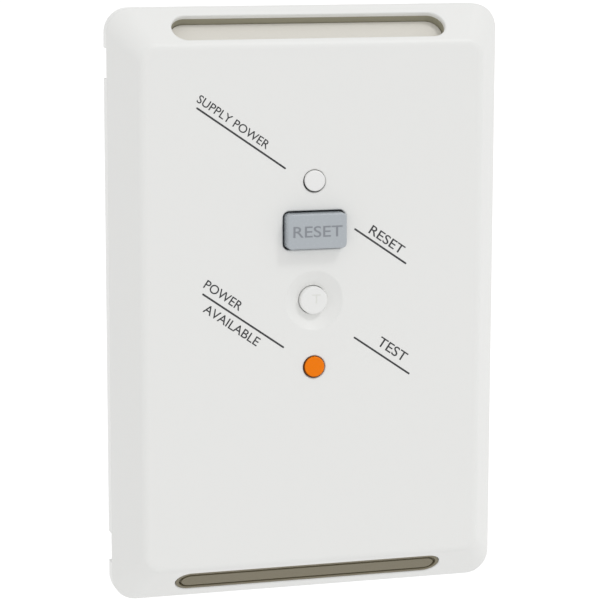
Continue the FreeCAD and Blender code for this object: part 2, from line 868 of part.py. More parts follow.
def make_grid():
    """The mounting grid that is screwed to the wall box and carries case and cover."""
    body = new_body("grid_plate")
    corner = size("cover_corner") - size("skirt_wall")
    outline = front_sketch(body, "grid_outline", 0)
    sketch_rounded(outline, (-GRID_X, GRID_X), (-GRID_Z, GRID_Z), corner)
    pad(body, outline, size("grid_thickness"))
    bosses = front_sketch(body, "wall_bosses", grid_front)
    for z in (size("wall_hole_spacing") / 2, -size("wall_hole_spacing") / 2):
        sketch_circle(bosses, 0, z, size("wall_boss_radius"))
    pad(body, bosses, size("wall_boss_height"))
    ribs = front_sketch(body, "grid_ribs", grid_front)
    rib_x = (size("cover_post_x") - size("cover_post_radius")) - size("grid_rib_width")
    rib_low = WINDOW_Z + size("lid_flange_rim") + 1
    rib_high = band_point(1, HOLDER_LOW, HOLDER_DEPTH)[1] - 1
    for x in (rib_x, -rib_x):
        across = (x - size("grid_rib_width") / 2, x + size("grid_rib_width") / 2)
        sketch_rectangle(ribs, across, (rib_low, rib_high))
        sketch_rectangle(ribs, across, (-rib_high, -rib_low))
    pad(body, ribs, size("grid_rib_height"))
    window = front_sketch(body, "case_window", 0)
    sketch_rounded(window, (-WINDOW_X, WINDOW_X), (-WINDOW_Z, WINDOW_Z),
                   size("case_corner") + size("case_gap"))
    pocket(body, window, size("grid_thickness") + 1)
    holes = front_sketch(body, "wall_holes", 0)
    for z in (size("wall_hole_spacing") / 2, -size("wall_hole_spacing") / 2):
        sketch_circle(holes, 0, z, size("wall_hole_radius"))
    pocket(body, holes, D)
    corner_y, corner_z = band_point(1, HOLDER_UP, HOLDER_DEPTH)
    beds = front_sketch(body, "label_beds", corner_y + size("grid_gap"))
    bed_x = HOLDER_X + size("grid_gap")
    overhang = (corner_y - grid_front) * size("bevel_end") / BAND_RISE
    bed_low = corner_z - overhang - 2 * size("grid_gap")
    sketch_rectangle(beds, (-bed_x, bed_x), (bed_low, GRID_Z + 1))
    sketch_rectangle(beds, (-bed_x, bed_x), (-(GRID_Z + 1), -bed_low))
    pocket(body, beds, D)
    catches = front_sketch(body, "snap_catches", 0)
    reach = size("snap_length") / 2 + size("grid_gap")
    catch_x = half_w - size("skirt_wall") - size("snap_height") - size("grid_gap")
    for z in (size("snap_place"), -size("snap_place")):
        sketch_rectangle(catches, (catch_x, half_w), (z - reach, z + reach))
        sketch_rectangle(catches, (-half_w, -catch_x), (z - reach, z + reach))
    pocket(body, catches, 2 * size("grid_gap") + size("snap_depth"))


def sketch_label(sketch, side, margin):
    """The outline of a label slot, brought in by a margin all round."""
    sketch_slot(sketch, size("label_slot_length") - 2 * as_dim(margin),
                size("label_slot_height") - 2 * as_dim(margin), -side * size("label_slot_inset"))


def make_label_holders():
    """A tray behind each slot, seated on the inside of the sloping band."""
    for tag, side in (("top", 1), ("bottom", -1)):
        holder = new_body(f"label_holder_{tag}")
        profile = side_sketch(holder, f"holder_profile_{tag}", 0)
        sketch_polygon(profile, holder_outline(side))
        pad(holder, profile, 2 * HOLDER_X, both_ways=True)
        recess = bevel_sketch(holder, f"holder_recess_{tag}", side, HOLDER_FLOOR)
        sketch_label(recess, side, 0)
        pocket(holder, recess, HOLDER_FLOOR + 1)


def make_label_card():
    """The card on the floor of the upper tray."""
    card = new_body("label_strip_top")
    outline = bevel_sketch(card, "card_outline", 1, HOLDER_FLOOR)
    sketch_label(outline, 1, size("label_gap"))
    pad(card, outline, size("label_card"))


def make_label_blank():
    """The strip that closes the lower slot, with a groove inside its rim."""
    blank = new_body("label_blank_bottom")
    outline = bevel_sketch(blank, "blank_outline", -1, HOLDER_FLOOR)
    sketch_label(outline, -1, size("label_gap"))
    pad(blank, outline, HOLDER_FLOOR - size("blank_sunk"))
    groove = bevel_sketch(blank, "blank_groove", -1, size("blank_sunk") + size("blank_groove_depth"))
    rim_inside = size("label_gap") + size("blank_rim")
    sketch_label(groove, -1, rim_inside)
    sketch_label(groove, -1, rim_inside + size("blank_groove"))
    pocket(blank, groove, size("blank_groove_depth") + 1)


def holder_outline(side):
    """The tray's section: on the band's inside in front, clear of the face wall below."""
    limit = face_back + size("label_gap")
    down = -(limit + size("cover_skirt")) * BAND_SLOPE
    seat_end = (down + size("bevel_wall") * size("bevel_end")) / BAND_RISE
    shoulder = (HOLDER_LOW * BAND_RISE - down) / size("bevel_end")
    return [band_point(side, HOLDER_UP, size("bevel_wall")),
            band_point(side, seat_end, size("bevel_wall")),
            band_point(side, HOLDER_LOW, shoulder),
            band_point(side, HOLDER_LOW, HOLDER_DEPTH),
            band_point(side, HOLDER_UP, HOLDER_DEPTH)]


# Controls

def make_reset_button():
    """The rectangular push button with its retaining flange and long stem."""
    body = new_body("reset_button")
    half_rw = size("reset_width") / 2
    half_rh = size("reset_height") / 2
    rim_out = size("button_flange_rim") + size("reset_gap")
    flange_back = flange_front + size("button_flange")
    flange = front_sketch(body, "reset_flange", flange_back)
    sketch_rectangle(flange, (-(half_rw + rim_out), half_rw + rim_out),
                     (reset_z - half_rh - rim_out, reset_z + half_rh + rim_out))
    pad(body, flange, size("button_flange"))
    cap = front_sketch(body, "reset_cap", flange_front)
    sketch_rounded(cap, (-half_rw, half_rw), (reset_z - half_rh, reset_z + half_rh),
                   size("reset_corner"))
    pad(body, cap, flange_front - face + size("reset_proud"))
    top = face - size("reset_proud")
    fillet(body, size("reset_edge"), lambda edge: lies_at(edge, top))
    stem = front_sketch(body, "reset_stem", stem_end)
    sketch_circle(stem, 0, reset_z, size("stem_radius"))
    pad(body, stem, stem_end - flange_back)
    groove_back = clip_rear + size("running_gap")
    groove = front_sketch(body, "clip_groove", groove_back)
    sketch_circle(groove, 0, reset_z, size("stem_radius") + 1)
    sketch_circle(groove, 0, reset_z, size("stem_radius") * 0.7)
    pocket(body, groove, size("clip_thickness") + 2 * size("running_gap"))


def make_reset_clip():
    """The open spring clip in the groove of the reset stem."""
    inner = size("stem_radius") * 0.7 + size("running_gap")
    ring = rod("clip_disc", size("clip_radius"), "y", (clip_front, clip_rear), (0, reset_z))
    bore = rod("clip_bore", inner, "y", (clip_front - 1, clip_rear + 1), (0, reset_z))
    gap = block("clip_gap", (-inner * 0.8, inner * 0.8), (clip_front - 1, clip_rear + 1),
                (reset_z - size("clip_radius") - 1, reset_z))
    node(cut("reset_clip", ring, [bore, gap]), "reset_clip")


def make_test_button():
    """The round push button with its retaining flange and short stem."""
    body = new_body("test_button")
    top = face + size("test_sunk")
    flange_back = flange_front + size("button_flange")
    tip = front_sketch(body, "test_stem", test_blade_front)
    sketch_circle(tip, 0, test_z, size("stem_radius") * 0.8)
    pad(body, tip, test_blade_front - flange_back)
    flange = front_sketch(body, "test_flange", flange_back)
    sketch_circle(flange, 0, test_z, size("test_radius") + size("button_flange_rim"))
    pad(body, flange, size("button_flange"))
    cap = front_sketch(body, "test_cap", flange_front)
    sketch_circle(cap, 0, test_z, size("test_radius"))
    pad(body, cap, flange_front - top)
    fillet(body, size("test_edge"), lambda edge: lies_at(edge, top))


test_blade_front = board_front - size("lead_radius") * 2 - size("test_travel") - size("tip_height") * 3


def make_lenses():
    """The two light pipes: a round head in the cover, a collar behind the lid and a stem."""
    collar = size("button_flange")
    for label, z in (("supply_lens", supply_z), ("power_lens", power_z)):
        body = new_body(label)
        stem = front_sketch(body, f"{label}_stem", lamp_front - size("lens_gap"))
        sketch_circle(stem, 0, z, size("lens_radius") * 0.8)
        pad(body, stem, lamp_front - size("lens_gap") - flange_front - collar)
        ring = front_sketch(body, f"{label}_collar", flange_front + collar)
        sketch_circle(ring, 0, z, size("lens_radius") + size("button_flange_rim"))
        pad(body, ring, collar)
        head = front_sketch(body, f"{label}_head", flange_front)
        sketch_circle(head, 0, z, size("lens_radius"))
        pad(body, head, flange_front - face + size("lens_proud"))
        top = face - size("lens_proud")
        fillet(body, size("lens_proud"), lambda edge, top=top: lies_at(edge, top))


lamp_height = size("lamp_radius") * 3
lamp_front = board_front - lamp_height


# Case of the mechanism

def make_lid():
    """The front of the case: a flange that rests on the grid and a skirt through its window."""
    body = new_body("mechanism_lid")
    corner = size("case_corner")
    skirt = front_sketch(body, "lid_skirt", rim)
    sketch_rounded(skirt, (-case_x, case_x), (-case_z, case_z), corner)
    pad(body, skirt, rim - lid_front)
    flange = front_sketch(body, "lid_flange", grid_front)
    out = size("lid_flange_rim")
    sketch_rounded(flange, (-(case_x + out), case_x + out), (-(case_z + out), case_z + out), corner)
    pad(body, flange, size("lid_flange"))
    room = front_sketch(body, "lid_room", rim)
    sketch_rounded(room, (-inner_x, inner_x), (-inner_z, inner_z), corner - size("case_wall") / 2)
    pocket(body, room, rim - flange_front)
    posts = front_sketch(body, "lid_posts", board_front)
    for x, z in four(screw_x, screw_z):
        sketch_circle(posts, x, z, size("case_post_radius"))
    pad(body, posts, board_front - flange_front + size("lid_wall") / 4)
    holes = front_sketch(body, "lid_holes", rim)
    half_rw = size("reset_width") / 2 + size("reset_gap")
    half_rh = size("reset_height") / 2 + size("reset_gap")
    sketch_rounded(holes, (-half_rw, half_rw), (reset_z - half_rh, reset_z + half_rh),
                   size("reset_corner") + size("reset_gap"))
    sketch_circle(holes, 0, test_z, size("test_radius") + size("test_gap"))
    for z in (supply_z, power_z):
        sketch_circle(holes, 0, z, size("lens_radius") + size("lens_gap"))
    pocket(body, holes, D)
    threads = front_sketch(body, "lid_threads", board_front)
    for x, z in four(screw_x, screw_z):
        sketch_circle(threads, x, z, size("case_screw_radius") + size("running_gap"))
    pocket(body, threads, board_front - screw_tip + size("screw_clearance"))


screw_tip = flange_front + size("lid_wall")


def make_case_walls():
    """The four walls of the case: two plain sides, and two ends with the wire entries."""
    ring = doc.addObject("PartDesign::Body", "case_ring")
    corner = size("case_corner")
    outline = front_sketch(ring, "ring_outline", case_inside)
    sketch_rounded(outline, (-case_x, case_x), (-case_z, case_z), corner)
    pad(ring, outline, case_inside - rim)
    room = front_sketch(ring, "ring_room", case_inside + 1)
    sketch_rounded(room, (-inner_x, inner_x), (-inner_z, inner_z), corner - size("case_wall") / 2)
    pocket(ring, room, case_inside - rim + 2)
    cut_wire_entries(ring)
    split = case_z - corner
    depth = (rim - 1, case_inside + 1)

    def side_wall(side, tag):
        across = sorted([as_dim(0), side * (case_x + 1)], key=float)
        return common(f"case_side_{tag}", ring, block(f"side_region_{tag}", across, depth, (-split, split)))

    def end_wall(side, tag):
        along = sorted([side * split, side * (case_z + 1)], key=float)
        region = block(f"end_region_{tag}", (-(case_x + 1), case_x + 1), depth, along)
        return common(f"case_end_{tag}", ring, region)

    node(both_sides("case_sides", side_wall), "case_sides")
    node(both_sides("case_ends", end_wall, ("bottom", "top")), "case_ends")


def make_case_back():
    """The back of the case, with the long screws' holes and the driver holes."""
    body = new_body("case_back")
    outline = front_sketch(body, "back_outline", case_rear)
    sketch_rounded(outline, (-case_x, case_x), (-case_z, case_z), size("case_corner"))
    pad(body, outline, size("case_wall"))
    fillet(body, size("case_wall") / 2, lambda edge: lies_at(edge, case_rear))
    shanks = front_sketch(body, "case_screw_holes", case_rear + 1)
    for x, z in four(screw_x, screw_z):
        sketch_circle(shanks, x, z, size("case_screw_radius") + size("screw_clearance"))
    pocket(body, shanks, size("case_wall") + 2)
    heads = front_sketch(body, "case_screw_heads", case_rear + 1)
    for x, z in four(screw_x, screw_z):
        sketch_circle(heads, x, z, size("case_screw_head") + size("screw_clearance"))
    pocket(body, heads, size("case_screw_head_depth") + 1)
    access = front_sketch(body, "screw_access", case_rear + 1)
    for x, z in terminal_places():
        sketch_circle(access, x, z, size("screw_access_radius"))
    pocket(body, access, size("case_wall") + 2)


def make_case_supports():
    """What stands on the inside of the back: screw posts, terminal stops and the core's wall."""
    supports = []
    for index, place in enumerate(four(screw_x, screw_z)):
        post = rod(f"case_post_{index + 1}", size("case_post_radius"), "y",
                   (chassis_rear, case_inside), place)
        bore = rod(f"post_bore_{index + 1}", size("case_screw_radius") + size("screw_clearance"), "y",
                   (chassis_rear - 1, case_inside + 1), place)
        supports.append(cut(f"bored_post_{index + 1}", post, [bore]))
    rib = size("case_wall") / 2
    reach = size("terminal_height") / 2 - rib
    for x, z in terminal_places():
        for side in (-1, 1):
            middle = x + side * (size("terminal_width") / 2 - rib / 2)
            supports.append(block(f"terminal_stop_{len(supports)}", (middle - rib / 2, middle + rib / 2),
                                  (terminal_rear, case_inside), (z - reach, z + reach)))
    wall_low = core_z + size("core_height") / 2 + size("winding_thickness") + 1
    supports.append(block("core_wall", (-case_x / 3, case_x / 3), (case_inside - 4 * rib, case_inside),
                          (wall_low, wall_low + rib)))
    node(group("case_supports", supports), "case_supports")


def terminal_places():
    """The middle of each terminal: two in at the top, two out and the earth at the bottom."""
    middle = (terminal_inner + terminal_outer) / 2
    return four(pole_x, middle) + [(0, -middle)]


def cut_wire_entries(body):
    """Round holes through the top and bottom walls, in line with the wire bores."""
    before = body.Shape.Volume
    for tag, side, places in (("top", 1, (-pole_x, pole_x)), ("bottom", -1, (-pole_x, 0, pole_x))):
        entry = new_sketch(body, f"wire_entry_{tag}", "XY_Plane", side * (case_z + 1))
        for x in places:
            sketch_circle(entry, x, wire_y, size("wire_entry_radius"))
        feature = body.newObject("PartDesign::Pocket", f"wire_entries_{tag}")
        feature.Profile = entry
        bind(feature, "Length", size("case_wall") + 2)
        feature.Reversed = side < 0
        doc.recompute()
    if body.Shape.Volume >= before:
        raise RuntimeError("the wire entries cut nothing")


def slotted_screw(name, radius, head, span, head_height, centre, slot):
    """A screw along Y: a shank over span, then a head with a slot in its far face."""
    x, z = centre
    head_end = as_dim(span[1]) + head_height
    shank = rod(f"{name}_shank", radius, "y", (span[0], span[1]), centre)
    cap = rod(f"{name}_cap", head, "y", (span[1], head_end), centre)
    width, depth = slot
    notch = block(f"{name}_notch", (as_dim(x) - head - 1, as_dim(x) + head + 1),
                  (head_end - depth, head_end + 1), (as_dim(z) - width / 2, as_dim(z) + width / 2))
    return cut(name, fuse(f"{name}_body", [shank, cap]), [notch])


def make_case_screws():
    """The four long screws that hold the case together."""
    seat = case_rear - size("case_screw_head_depth")
    screws = []
    for index, centre in enumerate(four(screw_x, screw_z)):
        screws.append(slotted_screw(
            f"case_screw_{index + 1}", size("case_screw_radius"), size("case_screw_head"),
            (screw_tip, seat), size("case_screw_head_depth"), centre,
            (size("screw_slot_width") * 0.7, size("screw_slot_depth") * 0.6)))
    node(group("housing_screws", screws), "housing_screws")


# Circuit board

def make_board():
    """The board with its holes for the case screws and the reset stem."""
    body = new_body("circuit_board")
    reach_x = inner_x - size("board_gap")
    reach_z = inner_z - size("board_gap")
    outline = front_sketch(body, "board_outline", board_rear)
    sketch_rounded(outline, (-reach_x, reach_x), (-reach_z, reach_z), size("case_corner") / 2)
    pad(body, outline, size("board_thickness"))
    holes = front_sketch(body, "board_holes", board_rear)
    for x, z in four(screw_x, screw_z):
        sketch_circle(holes, x, z, size("case_screw_radius") + size("screw_clearance"))
    sketch_circle(holes, 0, reset_z, size("stem_radius") + size("stem_gap"))
    pocket(body, holes, size("board_thickness") + 1)
    pins = front_sketch(body, "board_pin_holes", board_rear)
    for x, z in pin_places():
        sketch_circle(pins, x, z, size("lead_radius") + size("running_gap"))
    pocket(body, pins, size("board_thickness") + 1)


supply_pin_x = size("pole_place") + size("strip_width") / 2 + size("lead_radius") * 3
sense_pin_x = size("core_inner") + (size("core_outer") - size("core_inner")) / 2
bobbin_rim = size("coil_radius") + size("bobbin_wall") / 2
coil_pin_x = bobbin_rim + size("lead_radius") + size("running_gap")
coil_pin_z = bobbin_bottom + size("bobbin_flange") / 2


def pin_places():
    """Where leads come through the board: supply, sensing winding and trip coil."""
    supply = [(side * supply_pin_x, terminal_inner) for side in (-1, 1)]
    sense = [(side * sense_pin_x, core_z) for side in (-1, 1)]
    return supply + sense + coil_pin_places()


def coil_pin_places():
    """The two leads of the trip coil, beside the lower end of its bobbin."""
    return [(side * coil_pin_x, coil_pin_z) for side in (-1, 1)]


def make_board_parts():
    """What is soldered to the front of the board."""
    chip_x = -size("chip_column")
    chip = block("control_chip", (chip_x - size("chip_width") / 2, chip_x + size("chip_width") / 2),
                 (board_front - size("chip_height"), board_front),
                 (core_z - size("chip_length") / 2, core_z + size("chip_length") / 2))
    node(chip, "control_chip")
    disc_x = size("arrestor_column")
    disc = rod("surge_arrestor", size("arrestor_radius"), "y",
               (board_front - size("arrestor_height"), board_front), (disc_x, core_z))
    node(disc, "surge_arrestor")
    tall_x = size("capacitor_column")
    tall = block("film_capacitor", (tall_x - size("capacitor_width") / 2,
                                    tall_x + size("capacitor_width") / 2),
                 (board_front - size("capacitor_height"), board_front),
                 (test_z - size("capacitor_length") / 2, test_z + size("capacitor_length") / 2))
    node(tall, "film_capacitor")
    heavy_z = -size("test_resistor_row")
    make_row("board_resistors", size("resistor_radius"), size("resistor_length"), 3,
             -size("resistor_column"), test_z)
    make_row("board_diodes", size("diode_radius"), size("diode_length"), 4,
             -size("diode_column"), heavy_z)
    heavy = rod("test_resistor", size("test_resistor_radius"), "x",
                (-size("test_resistor_length") / 2, size("test_resistor_length") / 2),
                (board_front - size("test_resistor_radius"), heavy_z))
    node(heavy, "test_resistor")
    can_z = size("can_row")
    can = rod("smoothing_capacitor", size("can_radius"), "z",
              (can_z - size("can_length") / 2, can_z + size("can_length") / 2),
              (-size("capacitor_column"), board_front - size("can_radius")))
    node(can, "smoothing_capacitor")
    make_thyristor()


def make_thyristor():
    """The small switch that fires the trip coil: a round case with one flat side."""
    x, z = size("capacitor_column"), size("can_row")
    radius = size("thyristor_radius")
    reach = (board_front - size("thyristor_height"), board_front)
    case = rod("thyristor_case", radius, "y", reach, (x, z))
    flat = block("thyristor_flat", (x - radius - 1, x + radius + 1),
                 (reach[0] - 1, reach[1] + 1), (z + radius / 2, z + radius + 1))
    node(cut("trip_thyristor", case, [flat]), "trip_thyristor")


def make_row(label, radius, length, count, first_x, z):
    """Small round parts side by side, each lying on the board along Z."""
    pieces = []
    for index in range(count):
        x = first_x - index * (2 * radius + size("lead_gap"))
        pieces.append(rod(f"{label}_{index + 1}", radius, "z", (z - length / 2, z + length / 2),
                          (x, board_front - radius)))
    node(group(label, pieces), label)


def make_lamps():
    """The two small lamps that stand on the board behind the light pipes."""
    for label, z in (("supply_lamp", supply_z), ("power_lamp", power_z)):
        foot = rod(f"{label}_foot", size("lamp_radius") + size("lamp_flange"), "y",
                   (board_front - size("lamp_flange") * 2, board_front), (0, z))
        glass = rod(f"{label}_glass", size("lamp_radius"), "y",
                    (lamp_front + size("lamp_flange"), board_front), (0, z))
        crown = cone(f"{label}_crown", (size("lamp_radius") * 0.6, size("lamp_radius")), "y",
                     (lamp_front, lamp_front + size("lamp_flange")), (0, z))
        node(fuse(label, [foot, glass, crown]), label)


def make_test_contact():
    """The leaf under the test button, which is also its spring, and the stud it meets."""
    leaf = size("lead_radius")
    half = size("strip_width") / 2
    arm_end = size("contact_span") / 2
    arm = block("blade_arm", (-half, arm_end), (test_blade_front, test_blade_front + leaf),
                (test_z - half, test_z + half))
    leg = block("blade_leg", (arm_end - leaf, arm_end), (test_blade_front, board_front - leaf),
                (test_z - half, test_z + half))
    foot = block("blade_foot", (arm_end - leaf, arm_end + half), (board_front - leaf, board_front),
                 (test_z - half, test_z + half))
    node(fuse("test_blade", [arm, leg, foot]), "test_blade")
    stud_front = test_blade_front + leaf + size("test_travel")
    node(rod("test_stud", size("tip_radius"), "y", (stud_front, board_front), (0, test_z)), "test_stud")


# Chassis and contact gear

def make_chassis():
    """The moulded deck behind the board with its pillars, guide posts and latch ears."""
    body = new_body("mechanism_chassis")
    reach_x = inner_x - size("board_gap")
    reach_z = inner_z - size("board_gap")
    outline = front_sketch(body, "chassis_outline", chassis_rear)
    sketch_rounded(outline, (-reach_x, reach_x), (-reach_z, reach_z), size("case_corner") / 2)
    pad(body, outline, size("chassis_thickness"))
    deck = chassis_rear - size("chassis_thickness") / 4
    pillars = front_sketch(body, "strip_pillars", strip_front)
    half = strip_half
    for x in (-pole_x, pole_x):
        sketch_rectangle(pillars, (x - half, x + half), (upper_contact_z - half, terminal_outer))
        sketch_rectangle(pillars, (x - half, x + half), (link_end_z(), lower_contact_z + half))
        sketch_rectangle(pillars, (x - half, x + half), (-terminal_outer, -link_tab()))
    sketch_rectangle(pillars, (-half, half), (-terminal_outer, -terminal_inner))
    pad(body, pillars, strip_front - deck)
    guides = front_sketch(body, "guide_posts", beam_rear + size("contact_gap") / 2)
    for side in (-1, 1):
        sketch_circle(guides, side * size("guide_place"), reset_z, size("guide_radius"))
    pad(body, guides, beam_rear + size("contact_gap") / 2 - deck)
    add_latch_ears(body, deck)
    seat = front_sketch(body, "yoke_seat", yoke_front)
    sketch_rectangle(seat, (-size("coil_radius"), size("coil_radius")), (yoke_bottom, yoke_top))
    pad(body, seat, yoke_front - deck)
    core_seat = front_sketch(body, "core_seat", link_y - core_half - size("grid_gap"))
    sketch_rectangle(core_seat, (-size("core_inner"), size("core_inner")),
                     (core_z - size("core_height") / 2, core_z + size("core_height") / 2))
    pad(body, core_seat, link_y - core_half - size("grid_gap") - deck)
    holes = front_sketch(body, "chassis_holes", chassis_rear)
    for x, z in four(screw_x, screw_z):
        sketch_circle(holes, x, z, size("case_screw_radius") + size("screw_clearance"))
    sketch_circle(holes, 0, reset_z, size("stem_radius") + size("stem_gap"))
    pocket(body, holes, size("chassis_thickness") + 1)
    pins = front_sketch(body, "chassis_pin_holes", chassis_rear)
    for x, z in pin_places():
        sketch_circle(pins, x, z, size("lead_radius") + size("lead_gap"))
    pocket(body, pins, size("chassis_thickness") + 1)


core_half = size("core_outer") + size("winding_thickness")
yoke_front = plunger_y - size("coil_radius") - size("bobbin_wall") - size("yoke_thickness")


def link_end_z():
    """The lower end of the load contact strips, below the ends of the link wires."""
    return lower_contact_z - size("bar_overhang") - 3 * size("link_radius")


def link_tab():
    """The inner end of the tabs that the link wires reach by the load terminals."""
    return terminal_inner - 3 * size("link_radius")


def add_latch_ears(body, deck):
    """Two ears with a cross hole for the latch pin."""
    ear = size("latch_ear")
    inside = size("latch_width") / 2 + size("grid_gap")
    ear_back = pivot_y + size("latch_pin_radius") * 2
    reach = size("latch_pin_radius") * 2
    ears = front_sketch(body, "latch_ears", ear_back)
    for low, high in ((inside, inside + ear), (-(inside + ear), -inside)):
        sketch_rectangle(ears, (low, high), (pivot_z - reach, pivot_z + reach))
    pad(body, ears, ear_back - deck)
    hole = side_sketch(body, "latch_pin_hole", -(inside + ear + 1))
    sketch_circle(hole, pivot_y, pivot_z, size("latch_pin_radius") + size("running_gap") / 2)
    pocket(body, hole, 2 * (inside + ear + 1))


def strip(name, x, z):
    """A flat contact strip on its pillar."""
    return block(name, (x - strip_half, x + strip_half), (strip_front, strip_rear), z)


def make_strips():
    """The fixed copper strips: line side, load side and the tabs at the load terminals."""
    node(both_sides("line_contact_strips", lambda side, tag: strip(
        f"line_strip_{tag}", side * pole_x, (upper_contact_z - strip_half, terminal_outer))),
        "line_contact_strips")
    node(both_sides("load_contact_strips", lambda side, tag: strip(
        f"load_strip_{tag}", side * pole_x, (link_end_z(), lower_contact_z + strip_half))),
        "load_contact_strips")
    node(both_sides("load_terminal_tabs", lambda side, tag: strip(
        f"load_tab_{tag}", side * pole_x, (-terminal_outer, -link_tab()))),
        "load_terminal_tabs")


def make_tips():
    """Silver contact tips: four on the fixed strips and four on the moving bars."""
    for label, low, high in (("fixed_tips", strip_rear, contact_plane),
                             ("moving_tips", contact_plane, bar_front)):
        tips = []
        for x in (-pole_x, pole_x):
            for z in (upper_contact_z, lower_contact_z):
                tips.append(rod(f"{label}_{len(tips) + 1}", size("tip_radius"), "y", (low, high), (x, z)))
        node(group(label, tips), label)


def make_carriage():
    """The moulded carriage: a guided block and a cross beam with a pin for each bar."""
    body = new_body("contact_carriage")
    half = size("carriage_width") / 2
    reach = size("carriage_height") / 2
    beam_x = pole_x + size("beam_overhang")
    beam_half = size("beam_height") / 2
    beam = front_sketch(body, "carriage_beam", beam_rear)
    sketch_rounded(beam, (-beam_x, beam_x), (reset_z - beam_half, reset_z + beam_half),
                   size("reset_corner"))
    pad(body, beam, size("beam_depth"))
    core = front_sketch(body, "carriage_block", carriage_rear)
    sketch_rounded(core, (-half, half), (reset_z - reach, reset_z + reach), size("reset_corner"))
    pad(body, core, size("carriage_depth"))
    pins = front_sketch(body, "carriage_pins", beam_front + size("beam_depth") / 4)
    for side in (-1, 1):
        sketch_circle(pins, side * pole_x, reset_z, size("bar_pin_radius"))
    pad(body, pins, beam_front + size("beam_depth") / 4 - bar_front + size("bar_pin_head_height"))
    heads_rear = bar_front - size("lead_gap")
    heads = front_sketch(body, "carriage_pin_heads", heads_rear)
    for side in (-1, 1):
        sketch_circle(heads, side * pole_x, reset_z, size("bar_pin_head"))
    pad(body, heads, size("bar_pin_head_height"))
    bores = front_sketch(body, "carriage_bores", beam_rear + 1)
    for side in (-1, 1):
        sketch_circle(bores, side * size("guide_place"), reset_z,
                      size("guide_radius") + size("running_gap"))
    sketch_circle(bores, 0, reset_z, size("stem_radius") + size("stem_gap"))
    pocket(body, bores, beam_rear + 2 - carriage_front)


def make_moving_bars():
    """The two bridging bars that slide on the carriage's pins."""
    def bar(side, tag):
        x = side * pole_x
        plate = block(f"bar_plate_{tag}", (x - strip_half, x + strip_half), (bar_front, bar_rear),
                      (reset_z - bar_end, reset_z + bar_end))
        bore = rod(f"bar_bore_{tag}", size("bar_pin_radius") + size("lead_gap"), "y",
                   (bar_front - 1, bar_rear + 1), (x, reset_z))
        return cut(f"bar_{tag}", plate, [bore])

    node(both_sides("moving_contacts", bar), "moving_contacts")


def spring(name, axis, start, length, mean, turns, wire=None):
    """A coil spring with its ends a hair short of what they bear on."""
    gap = float(size("running_gap")) / 2
    forward = point(0, 1, 0) if axis == "y" else point(0, 0, 1)
    wire = size("spring_wire") if wire is None else wire
    shape = coil_shape(axis, start + forward * gap, float(length) - 2 * gap, mean, wire, turns)
    return shaped(name, shape)


def make_springs():
    """Every coil spring in the mechanism."""
    wire = size("spring_wire")
    contact_mean = size("bar_pin_radius") + size("lead_gap") + 2 * wire
    node(both_sides("contact_springs", lambda side, tag: spring(
        f"contact_spring_{tag}", "y", point(side * pole_x, bar_rear, reset_z),
        size("contact_spring_length"), contact_mean, 4)), "contact_springs")
    guide_mean = size("guide_radius") + size("lead_gap") + wire
    node(both_sides("opening_springs", lambda side, tag: spring(
        f"opening_spring_{tag}", "y", point(side * size("guide_place"), chassis_rear, reset_z),
        size("opening_spring_length"), guide_mean, 4)), "opening_springs")
    flange_back = flange_front + size("button_flange")
    reset_wire = wire * 1.5
    stem_mean = size("stem_radius") + size("stem_gap") + size("lead_gap") + reset_wire
    node(spring("reset_spring", "y", point(0, flange_back, reset_z), board_front - flange_back,
                stem_mean, 7, reset_wire), "reset_spring")
    neck_mean = size("plunger_neck") + size("lead_gap") + size("latch_spring_wire")
    node(spring("latch_spring", "z", point(0, plunger_y, yoke_top), latch_bottom - yoke_top,
                neck_mean, 3, size("latch_spring_wire")), "latch_spring")


# Latch and trip coil

def make_latch():
    """The hooked lever that holds the carriage closed until the plunger pulls it down."""
    body = new_body("latch_lever")
    half = size("latch_width") / 2
    tail = pivot_y - size("latch_pin_radius") - size("lead_gap") * 2
    hook_front = carriage_rear + size("hook_gap")
    hook_back = hook_front + size("hook_length")
    hook_top = carriage_bottom + size("hook_catch")
    profile = side_sketch(body, "latch_profile", 0)
    sketch_polygon(profile, [(tail, latch_bottom), (hook_back, latch_bottom), (hook_back, hook_top),
                             (hook_front, hook_top), (hook_front, latch_top), (tail, latch_top)])
    pad(body, profile, 2 * half, both_ways=True)
    hole = side_sketch(body, "latch_bore", -(half + 1))
    sketch_circle(hole, pivot_y, pivot_z, size("latch_pin_radius") + size("running_gap") / 2)
    pocket(body, hole, 2 * (half + 1))
    slot = new_sketch(body, "latch_slot", "XY_Plane", latch_bottom - 1)
    neck = size("plunger_neck") + size("grid_gap")
    sketch_rectangle(slot, (-neck, neck), (plunger_y - 2 * neck + size("grid_gap"), plunger_y + 1.5 * neck))
    pocket(body, slot, size("latch_height") + 2)
    pin_reach = half + size("grid_gap") + size("latch_ear")
    node(rod("latch_pin", size("latch_pin_radius"), "x", (-pin_reach, pin_reach), (pivot_y, pivot_z)),
         "latch_pin")


